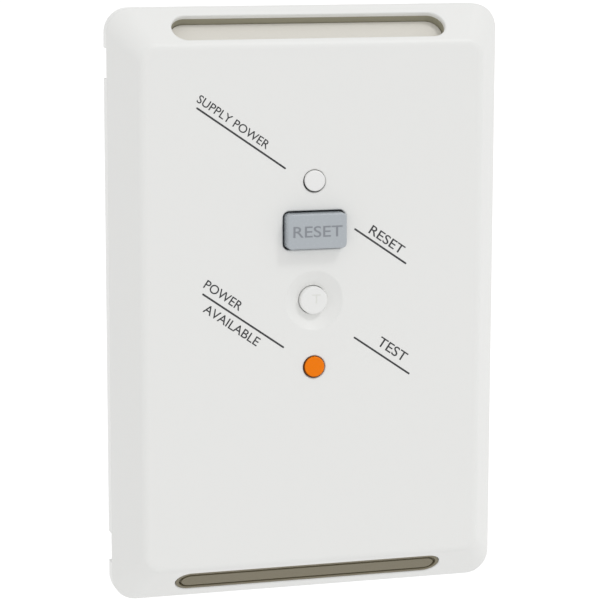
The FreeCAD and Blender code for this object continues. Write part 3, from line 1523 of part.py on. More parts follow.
def make_trip_coil():
    """Bobbin, winding, yoke and plunger, all on one upright axis behind the latch."""
    centre = (0, plunger_y)
    bore = size("plunger_radius") + size("lead_gap")
    barrel = bore + size("bobbin_wall")
    low = bobbin_bottom + size("bobbin_flange")
    high = bobbin_top - size("bobbin_flange")
    tube = rod("bobbin_tube", barrel, "z", (bobbin_bottom, bobbin_top), centre)
    ends = [rod("bobbin_low", bobbin_rim, "z", (bobbin_bottom, low), centre),
            rod("bobbin_high", bobbin_rim, "z", (high, bobbin_top), centre)]
    hole = rod("bobbin_bore", bore, "z", (bobbin_bottom - 1, bobbin_top + 1), centre)
    node(cut("solenoid_bobbin", fuse("bobbin_body", [tube] + ends), [hole]), "solenoid_bobbin")
    winding = rod("coil_outer", size("coil_radius"), "z", (low, high), centre)
    inside = rod("coil_inner", barrel, "z", (low - 1, high + 1), centre)
    node(cut("solenoid_coil", winding, [inside]), "solenoid_coil")
    make_yoke(bore)
    neck_top = latch_top + size("grid_gap")
    slug_low = bobbin_bottom + size("plunger_travel") + size("plunger_end_gap")
    slug = rod("plunger_slug", size("plunger_radius"), "z",
               (slug_low, bobbin_top + size("yoke_thickness")), centre)
    neck = rod("plunger_neck", size("plunger_neck"), "z", (bobbin_top, neck_top), centre)
    head = rod("plunger_head", size("plunger_head"), "z",
               (neck_top, neck_top + size("plunger_head_height")), centre)
    node(fuse("trip_plunger", [slug, neck, head]), "trip_plunger")


def make_yoke(bore):
    """The steel strap round the coil: a back against the chassis and two bored ends."""
    half = size("coil_radius")
    thick = size("yoke_thickness")
    back = block("yoke_back", (-half, half), (yoke_front, yoke_front + thick), (yoke_bottom, yoke_top))
    reach = (yoke_front, plunger_y + half)
    low = block("yoke_low", (-half, half), reach, (yoke_bottom, bobbin_bottom))
    high = block("yoke_high", (-half, half), reach, (bobbin_top, yoke_top))
    hole = rod("yoke_bore", bore, "z", (bobbin_top - thick, yoke_top + 1), (0, plunger_y))
    node(cut("solenoid_yoke", fuse("yoke_body", [back, low, high]), [hole]), "solenoid_yoke")


# Current sensing

def make_core():
    """The ring core that both load wires pass through, and its sensing winding."""
    centre = (0, link_y)
    half = size("core_height") / 2
    span = (core_z - half, core_z + half)
    ring = rod("core_disc", size("core_outer"), "z", span, centre)
    hole = rod("core_hole", size("core_inner"), "z", (core_z - half - 1, core_z + half + 1), centre)
    node(cut("sensing_core", ring, [hole]), "sensing_core")
    thick = size("winding_thickness")
    wrap = rod("wrap_disc", core_half, "z", (core_z - half - thick, core_z + half + thick), centre)
    throat = rod("wrap_throat", size("core_inner") - thick, "z",
                 (core_z - half - thick - 1, core_z + half + thick + 1), centre)
    core_room = cut("wrap_room", rod("room_disc", size("core_outer"), "z", span, centre),
                    [rod("room_hole", size("core_inner"), "z", span, centre)])
    rear_half = block("wrap_gap", (-core_half - 1, core_half + 1), (link_y, link_y + core_half + 1),
                      (core_z - half - thick - 1, core_z + half + thick + 1))
    node(cut("sense_winding", wrap, [throat, core_room, rear_half]), "sense_winding")


def make_links():
    """The two insulated wires from the load strips, through the core, to the load tabs."""
    wire = size("link_radius")
    top_z = link_end_z() + wire * 1.3
    low_z = -(link_tab() + wire * 1.3)
    core_reach = size("core_height") / 2 + size("winding_thickness")
    above = core_z + core_reach + wire
    below = core_z - core_reach - 2 * wire
    bends = [1.8 * float(wire), 2.6 * float(wire), 2.2 * float(wire), 1.8 * float(wire)]
    for label, side in (("active_link", 1), ("neutral_link", -1)):
        inner = side * size("link_spacing")
        outer = side * pole_x
        route = [point(outer, strip_rear, top_z), point(outer, link_y, top_z),
                 point(inner, link_y, above), point(inner, link_y, below),
                 point(outer, link_y, low_z), point(outer, strip_rear, low_z)]
        edges = bent_path(route, bends)
        wire_shape = tube_along(edges, wire)
        length = sum(edge.Length for edge in edges)
        share = wire_shape.Volume / (math.pi * float(wire) ** 2 * length)
        print(f"{label}: {length:.1f} mm long, volume {share:.4f} of section times length")
        node(shaped(label, wire_shape), label)


def make_leads():
    """Thin pins that join the strips, the winding and the coil to the board."""
    tip = board_front - size("lead_radius")

    def supply(side, tag):
        pin = rod(f"supply_pin_rod_{tag}", size("lead_radius"), "y", (tip, strip_rear),
                  (side * supply_pin_x, terminal_inner))
        tongue = block(f"supply_pin_tongue_{tag}",
                       sorted([side * (pole_x + strip_half), side * supply_pin_x], key=float),
                       (strip_front, strip_rear),
                       (terminal_inner - size("lead_radius"), terminal_inner + size("lead_radius")))
        return fuse(f"supply_pin_{tag}", [pin, tongue])

    node(both_sides("supply_pins", supply), "supply_pins")
    node(both_sides("sense_leads", lambda side, tag: rod(
        f"sense_lead_{tag}", size("lead_radius"), "y", (tip, sense_touch()),
        (side * sense_pin_x, core_z))), "sense_leads")
    node(both_sides("coil_leads", lambda side, tag: rod(
        f"coil_lead_{tag}", size("lead_radius"), "y", (tip, plunger_y),
        (side * coil_pin_x, coil_pin_z))), "coil_leads")


def sense_touch():
    """Where a lead parallel to Y first meets the round winding."""
    edge = sense_pin_x - size("lead_radius")
    return link_y - root(core_half * core_half - edge * edge) - size("running_gap")


# Terminals

def terminal_block(name, x, z_low, z_high):
    """A brass block with a wire bore along Z and a threaded hole from behind."""
    half = size("terminal_width") / 2
    middle = (z_low + z_high) / 2
    brass = block(f"{name}_brass", (x - half, x + half), (strip_rear, terminal_rear), (z_low, z_high))
    bore = rod(f"{name}_bore", size("wire_bore_radius"), "z", (z_low - 1, z_high + 1), (x, wire_y))
    thread = rod(f"{name}_thread", size("terminal_screw_radius") + size("running_gap") / 2, "y",
                 (wire_y, terminal_rear + 1), (x, middle))
    return cut(name, brass, [bore, thread])


def terminal_screw(name, x, z):
    """A clamping screw, backed off so that its tip is clear of the wire bore."""
    tip = wire_y + size("wire_bore_radius") + size("running_gap")
    return slotted_screw(name, size("terminal_screw_radius"), size("terminal_screw_head"),
                         (tip, terminal_rear + size("lead_gap")), size("terminal_screw_head_height"),
                         (x, z), (size("screw_slot_width"), size("screw_slot_depth")))


def make_terminals():
    """Two line terminals on top, two load terminals and the earth terminal below."""
    node(both_sides("line_terminals", lambda side, tag: terminal_block(
        f"line_terminal_{tag}", side * pole_x, terminal_inner, terminal_outer)), "line_terminals")
    node(both_sides("load_terminals", lambda side, tag: terminal_block(
        f"load_terminal_{tag}", side * pole_x, -terminal_outer, -terminal_inner)), "load_terminals")
    earth = terminal_block("earth_brass", as_dim(0), -terminal_outer, -terminal_inner)
    foot = block("earth_foot", (-strip_half, strip_half), (strip_front, strip_rear),
                 (-terminal_outer, -terminal_inner))
    node(fuse("earth_terminal", [earth, foot]), "earth_terminal")
    screws = []
    for index, (x, z) in enumerate(terminal_places()):
        screws.append(terminal_screw(f"terminal_screw_{index + 1}", x, z))
    node(group("terminal_screws", screws), "terminal_screws")


def main():
    """Build every sub-part, test it and write it to its file."""
    make_cover()
    make_grid()
    make_label_holders()
    make_label_card()
    make_label_blank()
    make_reset_button()
    make_reset_clip()
    make_test_button()
    make_lenses()
    make_lid()
    make_case_walls()
    make_case_back()
    make_case_supports()
    make_case_screws()
    make_board()
    make_board_parts()
    make_lamps()
    make_test_contact()
    make_chassis()
    make_strips()
    make_tips()
    make_carriage()
    make_moving_bars()
    make_springs()
    make_latch()
    make_trip_coil()
    make_core()
    make_links()
    make_leads()
    make_terminals()
    doc.recompute()
    for obj in doc.Objects:
        if "Invalid" in obj.State or "Error" in obj.State:
            raise RuntimeError(f"{obj.Label} is in state {obj.State}")
    for part in NODES:
        shape = part.Shape
        if shape.isNull() or not shape.isValid() or shape.Volume <= 0:
            raise RuntimeError(f"{part.Label} has no valid shape")
    os.makedirs("parts", exist_ok=True)
    for part in NODES:
        part.Shape.exportStep(f"parts/{part.Label}.step")
    print(f"{len(NODES)} sub-parts written")


main()
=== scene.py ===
import logging
import math
from collections.abc import Iterable, Sequence
from dataclasses import dataclass, field
from enum import Enum
from typing import ClassVar

import bmesh
import bpy
from bpy.types import Material, Mesh, Node, NodeSocket, NodeTree, Object
from mathutils import Matrix, Vector


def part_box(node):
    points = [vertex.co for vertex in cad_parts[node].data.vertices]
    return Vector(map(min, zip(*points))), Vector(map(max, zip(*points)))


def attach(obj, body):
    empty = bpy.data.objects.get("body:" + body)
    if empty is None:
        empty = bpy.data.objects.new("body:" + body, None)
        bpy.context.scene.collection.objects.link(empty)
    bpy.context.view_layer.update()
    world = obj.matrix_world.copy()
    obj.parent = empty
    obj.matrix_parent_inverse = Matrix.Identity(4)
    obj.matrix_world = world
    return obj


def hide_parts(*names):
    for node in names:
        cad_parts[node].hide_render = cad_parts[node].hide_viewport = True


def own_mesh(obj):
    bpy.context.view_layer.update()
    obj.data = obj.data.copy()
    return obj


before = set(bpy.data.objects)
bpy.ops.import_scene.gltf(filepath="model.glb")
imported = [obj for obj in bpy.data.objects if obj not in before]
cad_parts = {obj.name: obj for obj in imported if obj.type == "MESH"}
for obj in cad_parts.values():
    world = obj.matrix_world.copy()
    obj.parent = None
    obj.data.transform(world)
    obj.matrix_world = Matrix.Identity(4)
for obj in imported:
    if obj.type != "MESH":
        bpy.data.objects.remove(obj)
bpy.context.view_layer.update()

MM = 0.001
Colour = tuple[float, float, float]
Value = NodeSocket | float
Window = tuple[float, float]
log = logging.getLogger("wall_plate")


class Body(Enum):
    """The bodies that the scene's own pieces ride on."""

    WALL = "wall_unit"
    RESET = "reset_push"
    TEST = "test_push"


class Axis(Enum):
    """A direction of the object."""

    X = Vector((1, 0, 0))
    Y = Vector((0, 1, 0))
    Z = Vector((0, 0, 1))


ROOMWARD = -Axis.Y.value


# Colours and node trees

def screen(red: int, green: int, blue: int) -> Colour:
    """Turn an 8-bit screen colour into the linear colour that a shader takes.

    Args:
        red: Red from 0 to 255.
        green: Green from 0 to 255.
        blue: Blue from 0 to 255.

    Returns:
        The three linear channels.
    """
    channels = []
    for level in (red, green, blue):
        share = level / 255
        channels.append(share / 12.92 if share <= 0.04045 else ((share + 0.055) / 1.055) ** 2.4)
    return (channels[0], channels[1], channels[2])


def solid(colour: Colour) -> tuple[float, float, float, float]:
    """Give a colour its full opacity."""
    return (*colour, 1.0)


def darker(colour: Colour, share: float) -> Colour:
    """Give a colour a share of its brightness."""
    return (colour[0] * share, colour[1] * share, colour[2] * share)


@dataclass
class Graph:
    """A node tree, with short calls for the nodes and links that the finishes use."""

    tree: NodeTree

    def add(self, kind: str, **settings: object) -> Node:
        """Add a node.

        Args:
            kind: The node's type without its ShaderNode prefix.
            settings: Properties of the node, or default values of its inputs.

        Returns:
            The new node.
        """
        node = self.tree.nodes.new(f"ShaderNode{kind}")
        for name, value in settings.items():
            label = name.replace("_", " ")
            if label in node.inputs:
                node.inputs[label].default_value = value
            else:
                setattr(node, name, value)
        return node

    def join(self, source: NodeSocket, target: NodeSocket) -> None:
        """Link an output to an input."""
        self.tree.links.new(source, target)

    def feed(self, target: NodeSocket, value: Value | Sequence[float]) -> None:
        """Link a socket to an input, or set the input to a plain value.

        Args:
            target: The input.
            value: The socket, or a number, a colour or a vector.
        """
        if isinstance(value, NodeSocket):
            self.join(value, target)
        else:
            target.default_value = value

    def math(self, operation: str, first: Value, second: Value = 0.0,
             clamp: bool = False) -> NodeSocket:
        """Combine two values.

        Args:
            operation: The Math node's operation.
            first: A socket or a number.
            second: A socket or a number.
            clamp: Whether the result is kept between 0 and 1.

        Returns:
            The result's socket.
        """
        node = self.add("Math", operation=operation, use_clamp=clamp)
        self.feed(node.inputs[0], first)
        self.feed(node.inputs[1], second)
        return node.outputs[0]

    def spread(self, value: NodeSocket, low: float = 0.0, high: float = 1.0,
               window: Window = (0.0, 1.0)) -> NodeSocket:
        """Map a window of a value to another range, kept inside it.

        Args:
            value: The value to map.
            low: The result where the window starts.
            high: The result where it ends.
            window: The part of the value's range that is mapped.

        Returns:
            The mapped value's socket.
        """
        node = self.add("MapRange", From_Min=window[0], From_Max=window[1], To_Min=low,
                        To_Max=high)
        self.join(value, node.inputs["Value"])
        return node.outputs["Result"]

    def tint(self, mask: NodeSocket, low: Colour | NodeSocket, high: Colour) -> NodeSocket:
        """Mix two colours by a mask.

        Args:
            mask: 0 for the low colour and 1 for the high one.
            low: The colour at 0, or its socket.
            high: The colour at 1.

        Returns:
            The mixed colour's socket.
        """
        node = self.add("Mix", data_type="RGBA", B=solid(high))
        self.join(mask, node.inputs["Factor"])
        self.feed(node.inputs["A"], low if isinstance(low, NodeSocket) else solid(low))
        return node.outputs["Result"]

    def place(self) -> NodeSocket:
        """The point in the piece's own coordinates, which stay on it when it moves."""
        return self.add("TexCoord").outputs["Object"]

    def scaled(self, point: NodeSocket, factors: NodeSocket | Sequence[float]) -> NodeSocket:
        """Multiply a point's coordinates.

        Args:
            point: The point.
            factors: One factor for each axis, or a socket that gives them.

        Returns:
            The scaled point's socket.
        """
        node = self.add("VectorMath", operation="MULTIPLY")
        self.join(point, node.inputs[0])
        self.feed(node.inputs[1], factors)
        return node.outputs[0]

    def noise(self, point: NodeSocket, scale: Value, detail: float) -> NodeSocket:
        """Smooth noise at a point.

        Args:
            point: The point.
            scale: How fast it changes.
            detail: How many finer layers it has.

        Returns:
            The noise's socket, from 0 to 1.
        """
        node = self.add("TexNoise", Detail=detail)
        self.join(point, node.inputs["Vector"])
        self.feed(node.inputs["Scale"], scale)
        return node.outputs["Fac"]


@dataclass
class EffectGraph(Graph):
    """The inside of a shared effect, with its input and output nodes."""

    source: Node
    target: Node

    def take(self, name: str) -> NodeSocket:
        """Read one of the effect's inputs."""
        return self.source.outputs[name]

    def give(self, name: str, value: NodeSocket) -> None:
        """Send a value to one of the effect's outputs."""
        self.join(value, self.target.inputs[name])


@dataclass
class MaterialGraph(Graph):
    """The inside of a material or of the world, with the shader that it feeds."""

    shader: Node

    def set(self, name: str, value: Value | Sequence[float]) -> None:
        """Set one of the shader's inputs to a value, or link a socket to it."""
        self.feed(self.shader.inputs[name], value)


# Effects that several finishes share

class Effect:
    """A shader node group with named inputs and outputs, built once."""

    name: ClassVar[str] = ""
    inputs: ClassVar[dict[str, float]] = {}
    outputs: ClassVar[tuple[str, ...]] = ()

    @classmethod
    def tree(cls) -> NodeTree:
        """Find the group, or build it the first time.

        Returns:
            The group's node tree.
        """
        found = bpy.data.node_groups.get(cls.name)
        if found:
            return found
        group = bpy.data.node_groups.new(cls.name, "ShaderNodeTree")
        for name, value in cls.inputs.items():
            socket = group.interface.new_socket(name, in_out="INPUT", socket_type="NodeSocketFloat")
            socket.default_value = value
        for name in cls.outputs:
            group.interface.new_socket(name, in_out="OUTPUT", socket_type="NodeSocketFloat")
        cls.wire(EffectGraph(group, group.nodes.new("NodeGroupInput"),
                             group.nodes.new("NodeGroupOutput")))
        return group

    @classmethod
    def wire(cls, graph: EffectGraph) -> None:
        """Make the group's inside; each effect has its own."""
        raise NotImplementedError

    @classmethod
    def put(cls, graph: Graph, **values: float) -> Node:
        """Place the group in a material, with underscores for spaces in its inputs' names."""
        return graph.add("Group", node_tree=cls.tree(), **values)


NOISE_CORE: Window = (0.3, 0.7)    # most of a noise's values lie here
LEAST_ROUGHNESS = 0.02


class MouldTexture(Effect):
    """The fine spark-eroded texture that a mould leaves on plastic, with faint flow marks."""

    name = "mould_texture"
    inputs = {"Grains per mm": 3.0, "Flow": 0.5}
    outputs = ("Height", "Shade", "Gloss")
    clouds_per_mm: ClassVar[float] = 0.045
    streaks_per_mm: ClassVar[float] = 0.3
    streak_stretch: ClassVar[tuple[float, float, float]] = (1.0, 1.0, 0.25)
    flow_window: ClassVar[Window] = (0.2, 0.9)

    @classmethod
    def wire(cls, graph: EffectGraph) -> None:
        """Fine pits give the height and the gloss, and clouds and flow streaks the shade.

        Args:
            graph: The group's inside.
        """
        point = graph.place()
        rate = graph.math("MULTIPLY", graph.take("Grains per mm"), 1 / MM)
        pits = graph.noise(point, rate, detail=2.0)
        clouds = graph.noise(point, cls.clouds_per_mm / MM, detail=1.0)
        drawn = graph.scaled(point, cls.streak_stretch)
        streaks = graph.noise(drawn, cls.streaks_per_mm / MM, detail=2.0)
        marks = graph.math("ADD", clouds, streaks)
        flow = graph.math("MULTIPLY", marks, graph.take("Flow"))
        graph.give("Height", pits)
        graph.give("Shade", graph.spread(flow, window=cls.flow_window))
        graph.give("Gloss", graph.spread(pits, window=NOISE_CORE))


class DrawnLines(Effect):
    """Fine parallel lines that rolling, drawing or brushing leaves on metal."""

    name = "drawn_lines"
    inputs = {"Lines per mm": 14.0, "Along X": 1.0, "Along Y": 1.0, "Along Z": 0.06}
    outputs = ("Height", "Gloss")

    @classmethod
    def wire(cls, graph: EffectGraph) -> None:
        """Noise drawn out along one axis.

        Args:
            graph: The group's inside.
        """
        stretch = graph.add("CombineXYZ")
        for axis in Axis:
            graph.join(graph.take(f"Along {axis.name}"), stretch.inputs[axis.name])
        drawn = graph.scaled(graph.place(), stretch.outputs[0])
        rate = graph.math("MULTIPLY", graph.take("Lines per mm"), 1 / MM)
        lines = graph.noise(drawn, rate, detail=2.0)
        graph.give("Height", lines)
        graph.give("Gloss", graph.spread(lines, window=NOISE_CORE))


class HandlingFilm(Effect):
    """The thin uneven film of dust and handling that takes the shine off a surface."""

    name = "handling_film"
    inputs = {"Patch size mm": 9.0}
    outputs = ("Film",)
    patch_window: ClassVar[Window] = (0.4, 0.75)
    speckles_per_mm: ClassVar[float] = 2.2
    least_cover: ClassVar[float] = 0.6

    @classmethod
    def wire(cls, graph: EffectGraph) -> None:
        """Broad patches broken up by fine speckle.

        Args:
            graph: The group's inside.
        """
        rate = graph.math("DIVIDE", 1 / MM, graph.take("Patch size mm"))
        patches = graph.noise(graph.place(), rate, detail=4.0)
        speckle = graph.noise(graph.place(), cls.speckles_per_mm / MM, detail=1.0)
        cover = graph.spread(speckle, cls.least_cover, 1.0, NOISE_CORE)
        cloud = graph.spread(patches, window=cls.patch_window)
        graph.give("Film", graph.math("MULTIPLY", cloud, cover))


class Bands(Effect):
    """Even bands along the piece's Z, such as the turns of a winding or coloured rings."""

    name = "bands"
    inputs = {"Pitch mm": 0.3, "Shift mm": 0.0}
    outputs = ("Height", "Groove")

    @classmethod
    def wire(cls, graph: EffectGraph) -> None:
        """A rounded wave along Z: 1 on the crest of a turn and 0 between turns.

        Args:
            graph: The group's inside.
        """
        split = graph.add("SeparateXYZ")
        graph.join(graph.place(), split.inputs[0])
        along = graph.math("MULTIPLY", split.outputs["Z"], 1 / MM)
        along = graph.math("ADD", along, graph.take("Shift mm"))
        turn = graph.math("FRACT", graph.math("DIVIDE", along, graph.take("Pitch mm")))
        off = graph.math("SUBTRACT", graph.math("MULTIPLY", turn, 2.0), 1.0)
        arch = graph.math("SUBTRACT", 1.0, graph.math("MULTIPLY", off, off))
        height = graph.math("SQRT", graph.math("MAXIMUM", arch, 0.0))
        graph.give("Height", height)
        graph.give("Groove", graph.math("SUBTRACT", 1.0, height))


class UnshadedDisc(Effect):
    """A round disc on a lens's front; outside it the lens's colour is painted darker as shade."""

    name = "unshaded_disc"
    inputs = {"Centre X mm": 0.0, "Centre Z mm": 0.0, "Radius mm": 2.0}
    outputs = ("Outside",)
    soft_edge_mm: ClassVar[float] = 0.1

    @classmethod
    def wire(cls, graph: EffectGraph) -> None:
        """0 on the disc and 1 past its soft edge.

        Args:
            graph: The group's inside.
        """
        split = graph.add("SeparateXYZ")
        graph.join(graph.scaled(graph.place(), (1 / MM, 1 / MM, 1 / MM)), split.inputs[0])
        squares = []
        for axis in (Axis.X, Axis.Z):
            off = graph.math("SUBTRACT", split.outputs[axis.name],
                             graph.take(f"Centre {axis.name} mm"))
            squares.append(graph.math("MULTIPLY", off, off))
        reach = graph.math("SQRT", graph.math("ADD", *squares))
        past = graph.math("SUBTRACT", reach, graph.take("Radius mm"))
        graph.give("Outside", graph.spread(past, window=(0.0, cls.soft_edge_mm)))


# Finishes

@dataclass(frozen=True)
class Finish:
    """A surface finish; its material is made once and shared by every piece that has it.

    The roughness varies by swing each way, the relief is depth_mm deep, and sharp edges look
    rounded to edge_mm.
    """

    name: str
    colour: Colour
    rough: float = 0.5
    swing: float = 0.05
    depth_mm: float = 0.004
    edge_mm: float = 0.12

    def material(self) -> Material:
        """Find the finish's material, or build it the first time.

        Returns:
            The material.
        """
        title = f"{self.name}_finish"
        found = bpy.data.materials.get(title)
        if found:
            return found
        made = bpy.data.materials.new(title)
        made.use_nodes = True
        made.diffuse_color = solid(self.colour)
        graph = MaterialGraph(made.node_tree, made.node_tree.nodes["Principled BSDF"])
        graph.set("Base Color", solid(self.colour))
        graph.set("Roughness", self.rough)
        self.dress(graph)
        return made

    def dress(self, graph: MaterialGraph) -> None:
        """Add what the finish has beyond its colour and roughness."""

    def vary_roughness(self, graph: MaterialGraph, mask: NodeSocket) -> None:
        """Let a mask move the roughness.

        Args:
            graph: The material's inside.
            mask: A value from 0 to 1.
        """
        low = max(LEAST_ROUGHNESS, self.rough - self.swing)
        high = min(1.0, self.rough + self.swing)
        graph.set("Roughness", graph.spread(mask, low, high))

    def emboss(self, graph: MaterialGraph, height: NodeSocket) -> None:
        """Give the surface its fine relief and its worn edges.

        Args:
            graph: The material's inside.
            height: The relief, from 0 to 1.
        """
        bump = graph.add("Bump", Strength=1.0, Distance=self.depth_mm * MM)
        graph.join(height, bump.inputs["Height"])
        if self.edge_mm > 0:
            edge = graph.add("Bevel", samples=6, Radius=self.edge_mm * MM)
            graph.join(edge.outputs["Normal"], bump.inputs["Normal"])
        graph.set("Normal", bump.outputs["Normal"])


@dataclass(frozen=True)
class MouldedPlastic(Finish):
    """Injection-moulded plastic with the mould's texture."""

    grains_per_mm: float = 3.0
    shade: float = 0.985
    coat: float = 0.0
    film: float = 0.0

    def dress(self, graph: MaterialGraph) -> None:
        """Add the texture, its faint shading and the film that handling leaves.

        Args:
            graph: The material's inside.
        """
        texture = MouldTexture.put(graph, Grains_per_mm=self.grains_per_mm)
        low = darker(self.colour, self.shade)
        graph.set("Base Color", graph.tint(texture.outputs["Shade"], low, self.colour))
        mask = texture.outputs["Gloss"]
        if self.film > 0:
            layer = HandlingFilm.put(graph)
            dulled = graph.math("MULTIPLY", layer.outputs["Film"], self.film)
            mask = graph.math("ADD", mask, dulled, clamp=True)
        self.vary_roughness(graph, mask)
        self.emboss(graph, texture.outputs["Height"])
        graph.set("Coat Weight", self.coat)
        graph.set("Coat Roughness", self.rough / 2)


@dataclass(frozen=True)
class LensPlastic(Finish):
    """Polished tinted plastic of a light pipe, with a diffusing body behind a clear outer layer."""

    swing: float = 0.03
    depth_mm: float = 0.001
    edge_mm: float = 0.1
    pass_light: float = 0.0
    shine: float = 0.5
    clouding: float = 0.96
    refraction: float = 1.58

    def body_colour(self, graph: MaterialGraph, shade: NodeSocket) -> NodeSocket:
        """Shade the diffusing body by its clouding, from 0 to 1."""
        return graph.tint(shade, darker(self.colour, self.clouding), self.colour)

    def dress(self, graph: MaterialGraph) -> None:
        """Add the faint clouding inside the pipe and its clear outer layer.

        Args:
            graph: The material's inside.
        """
        texture = MouldTexture.put(graph, Grains_per_mm=1.2, Flow=0.8)
        graph.set("Base Color", self.body_colour(graph, texture.outputs["Shade"]))
        self.vary_roughness(graph, texture.outputs["Gloss"])
        self.emboss(graph, texture.outputs["Height"])
        graph.set("Transmission Weight", self.pass_light)
        graph.set("Specular IOR Level", self.shine)
        graph.set("IOR", self.refraction)


@dataclass(frozen=True)
class ShadowRingLens(LensPlastic):
    """A lens with a dark ring of painted shade round its edge, off-centre so that it is widest at
    the lower left.
    """

    node: str = ""
    # Painted shade: the dark ring's colour and width, and how far the disc inside it is moved.
    shade_ring_colour: Colour = (0.02, 0.02, 0.02)
    head_radius_mm: float = 2.12
    shade_ring_mm: float = 0.06
    unshaded_right_mm: float = 0.02
    unshaded_up_mm: float = 0.15

    def body_colour(self, graph: MaterialGraph, shade: NodeSocket) -> NodeSocket:
        """Paint shade in a ring outside an off-centre disc, widest at the lower left.

        Args:
            graph: The material's inside.
            shade: The clouding, from 0 to 1.

        Returns:
            The colour's socket.
        """
        # Painted shade: the disc is moved up and right, so the dark ring stands for the lens's
        # shadow and the shaded gap at its lower left.
        low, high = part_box(self.node)
        middle = (low + high) / (2 * MM)
        disc = UnshadedDisc.put(graph, Centre_X_mm=middle.x + self.unshaded_right_mm,
                            Centre_Z_mm=middle.z + self.unshaded_up_mm,
                            Radius_mm=self.head_radius_mm - self.shade_ring_mm)
        return graph.tint(disc.outputs["Outside"], super().body_colour(graph, shade), self.shade_ring_colour)


@dataclass(frozen=True)
class Metal(Finish):
    """Bare or plated metal with the lines of its making and slight tarnish."""

    swing: float = 0.08
    depth_mm: float = 0.002
    edge_mm: float = 0.08
    along: tuple[float, float, float] = (1.0, 1.0, 0.06)
    lines_per_mm: float = 14.0
    tarnish: Colour = (0.35, 0.3, 0.25)
    tarnish_share: float = 0.25

    def dress(self, graph: MaterialGraph) -> None:
        """Add the drawn lines, and tarnish where the metal was handled.

        Args:
            graph: The material's inside.
        """
        graph.set("Metallic", 1.0)
        lines = DrawnLines.put(graph, Lines_per_mm=self.lines_per_mm, Along_X=self.along[0],
                               Along_Y=self.along[1], Along_Z=self.along[2])
        layer = HandlingFilm.put(graph, Patch_size_mm=2.5)
        mask = graph.math("MULTIPLY", layer.outputs["Film"], self.tarnish_share)
        graph.set("Base Color", graph.tint(mask, self.colour, self.tarnish))
        self.vary_roughness(graph, lines.outputs["Gloss"])
        self.emboss(graph, lines.outputs["Height"])


@dataclass(frozen=True)
class EnamelledWire(Finish):
    """Lacquered copper wire: metal under a clear coat, with painted shade darkening the grooves
    between turns.
    """

    depth_mm: float = 0.08
    edge_mm: float = 0.0
    pitch_mm: float = 0.24
    painted_groove_shade: Colour = (0.12, 0.03, 0.01)
    groove_shade_window: Window = (0.2, 0.9)
    coat: float = 0.6
    coat_rough: float = 0.15

    def dress(self, graph: MaterialGraph) -> None:
        """Add the turns, the painted shade between them and the lacquer.

        Args:
            graph: The material's inside.
        """
        graph.set("Metallic", 1.0)
        turns = Bands.put(graph, Pitch_mm=self.pitch_mm)
        # Painted shade: the colour darkens towards the groove between turns.
        mask = graph.spread(turns.outputs["Groove"], window=self.groove_shade_window)
        graph.set("Base Color", graph.tint(mask, self.colour, self.painted_groove_shade))
        self.emboss(graph, turns.outputs["Height"])
        graph.set("Coat Weight", self.coat)
        graph.set("Coat Roughness", self.coat_rough)


@dataclass(frozen=True)
class BandedPart(Finish):
    """A small lacquered part with rings round it along Z, such as a resistor or a diode."""

    depth_mm: float = 0.003
    edge_mm: float = 0.15
    ring: Colour = (0.6, 0.6, 0.6)
    pitch_mm: float = 1.5
    width: float = 0.3
    centre_mm: float = 0.0
    coat: float = 0.3

    def dress(self, graph: MaterialGraph) -> None:
        """Add the rings and the lacquer's gloss.

        Args:
            graph: The material's inside.
        """
        rings = Bands.put(graph, Pitch_mm=self.pitch_mm, Shift_mm=-self.centre_mm)
        mask = graph.math("LESS_THAN", rings.outputs["Groove"], self.width)
        graph.set("Base Color", graph.tint(mask, self.colour, self.ring))
        texture = MouldTexture.put(graph, Grains_per_mm=2.0)
        self.vary_roughness(graph, texture.outputs["Gloss"])
        self.emboss(graph, texture.outputs["Height"])
        graph.set("Coat Weight", self.coat)


@dataclass(frozen=True)
class CircuitLaminate(Finish):
    """Green solder resist over copper tracks on glass laminate."""

    swing: float = 0.06
    depth_mm: float = 0.02
    edge_mm: float = 0.05
    track: Colour = (0.03, 0.22, 0.08)
    tracks_per_mm: float = 0.7
    coat: float = 0.5
    coat_rough: float = 0.2

    def dress(self, graph: MaterialGraph) -> None:
        """Add the tracks, which stand a little proud and look lighter, and the gloss.

        Args:
            graph: The material's inside.
        """
        cells = graph.add("TexBrick", Scale=self.tracks_per_mm / MM, Mortar_Size=0.09,
                          Mortar_Smooth=0.1, Brick_Width=3.1, Row_Height=1.0)
        turned = graph.add("Mapping", Rotation=(math.pi / 2, 0.0, 0.0))
        graph.join(graph.place(), turned.inputs["Vector"])
        graph.join(turned.outputs["Vector"], cells.inputs["Vector"])
        mask = cells.outputs["Fac"]
        graph.set("Base Color", graph.tint(mask, self.colour, self.track))
        texture = MouldTexture.put(graph, Grains_per_mm=5.0)
        self.vary_roughness(graph, texture.outputs["Gloss"])
        self.emboss(graph, mask)
        graph.set("Coat Weight", self.coat)
        graph.set("Coat Roughness", self.coat_rough)


@dataclass(frozen=True)
class PrintInk(Finish):
    """Pad-printed ink: a thin matt film with slightly uneven cover."""

    thin: Colour = (0.2, 0.2, 0.2)
    thin_share: float = 0.3
    shine: float = 0.35

    def dress(self, graph: MaterialGraph) -> None:
        """Add the uneven cover.

        Args:
            graph: The material's inside.
        """
        texture = MouldTexture.put(graph, Grains_per_mm=8.0)
        mask = graph.spread(texture.outputs["Gloss"], 0.0, self.thin_share)
        graph.set("Base Color", graph.tint(mask, self.colour, self.thin))
        self.vary_roughness(graph, texture.outputs["Gloss"])
        graph.set("Specular IOR Level", self.shine)


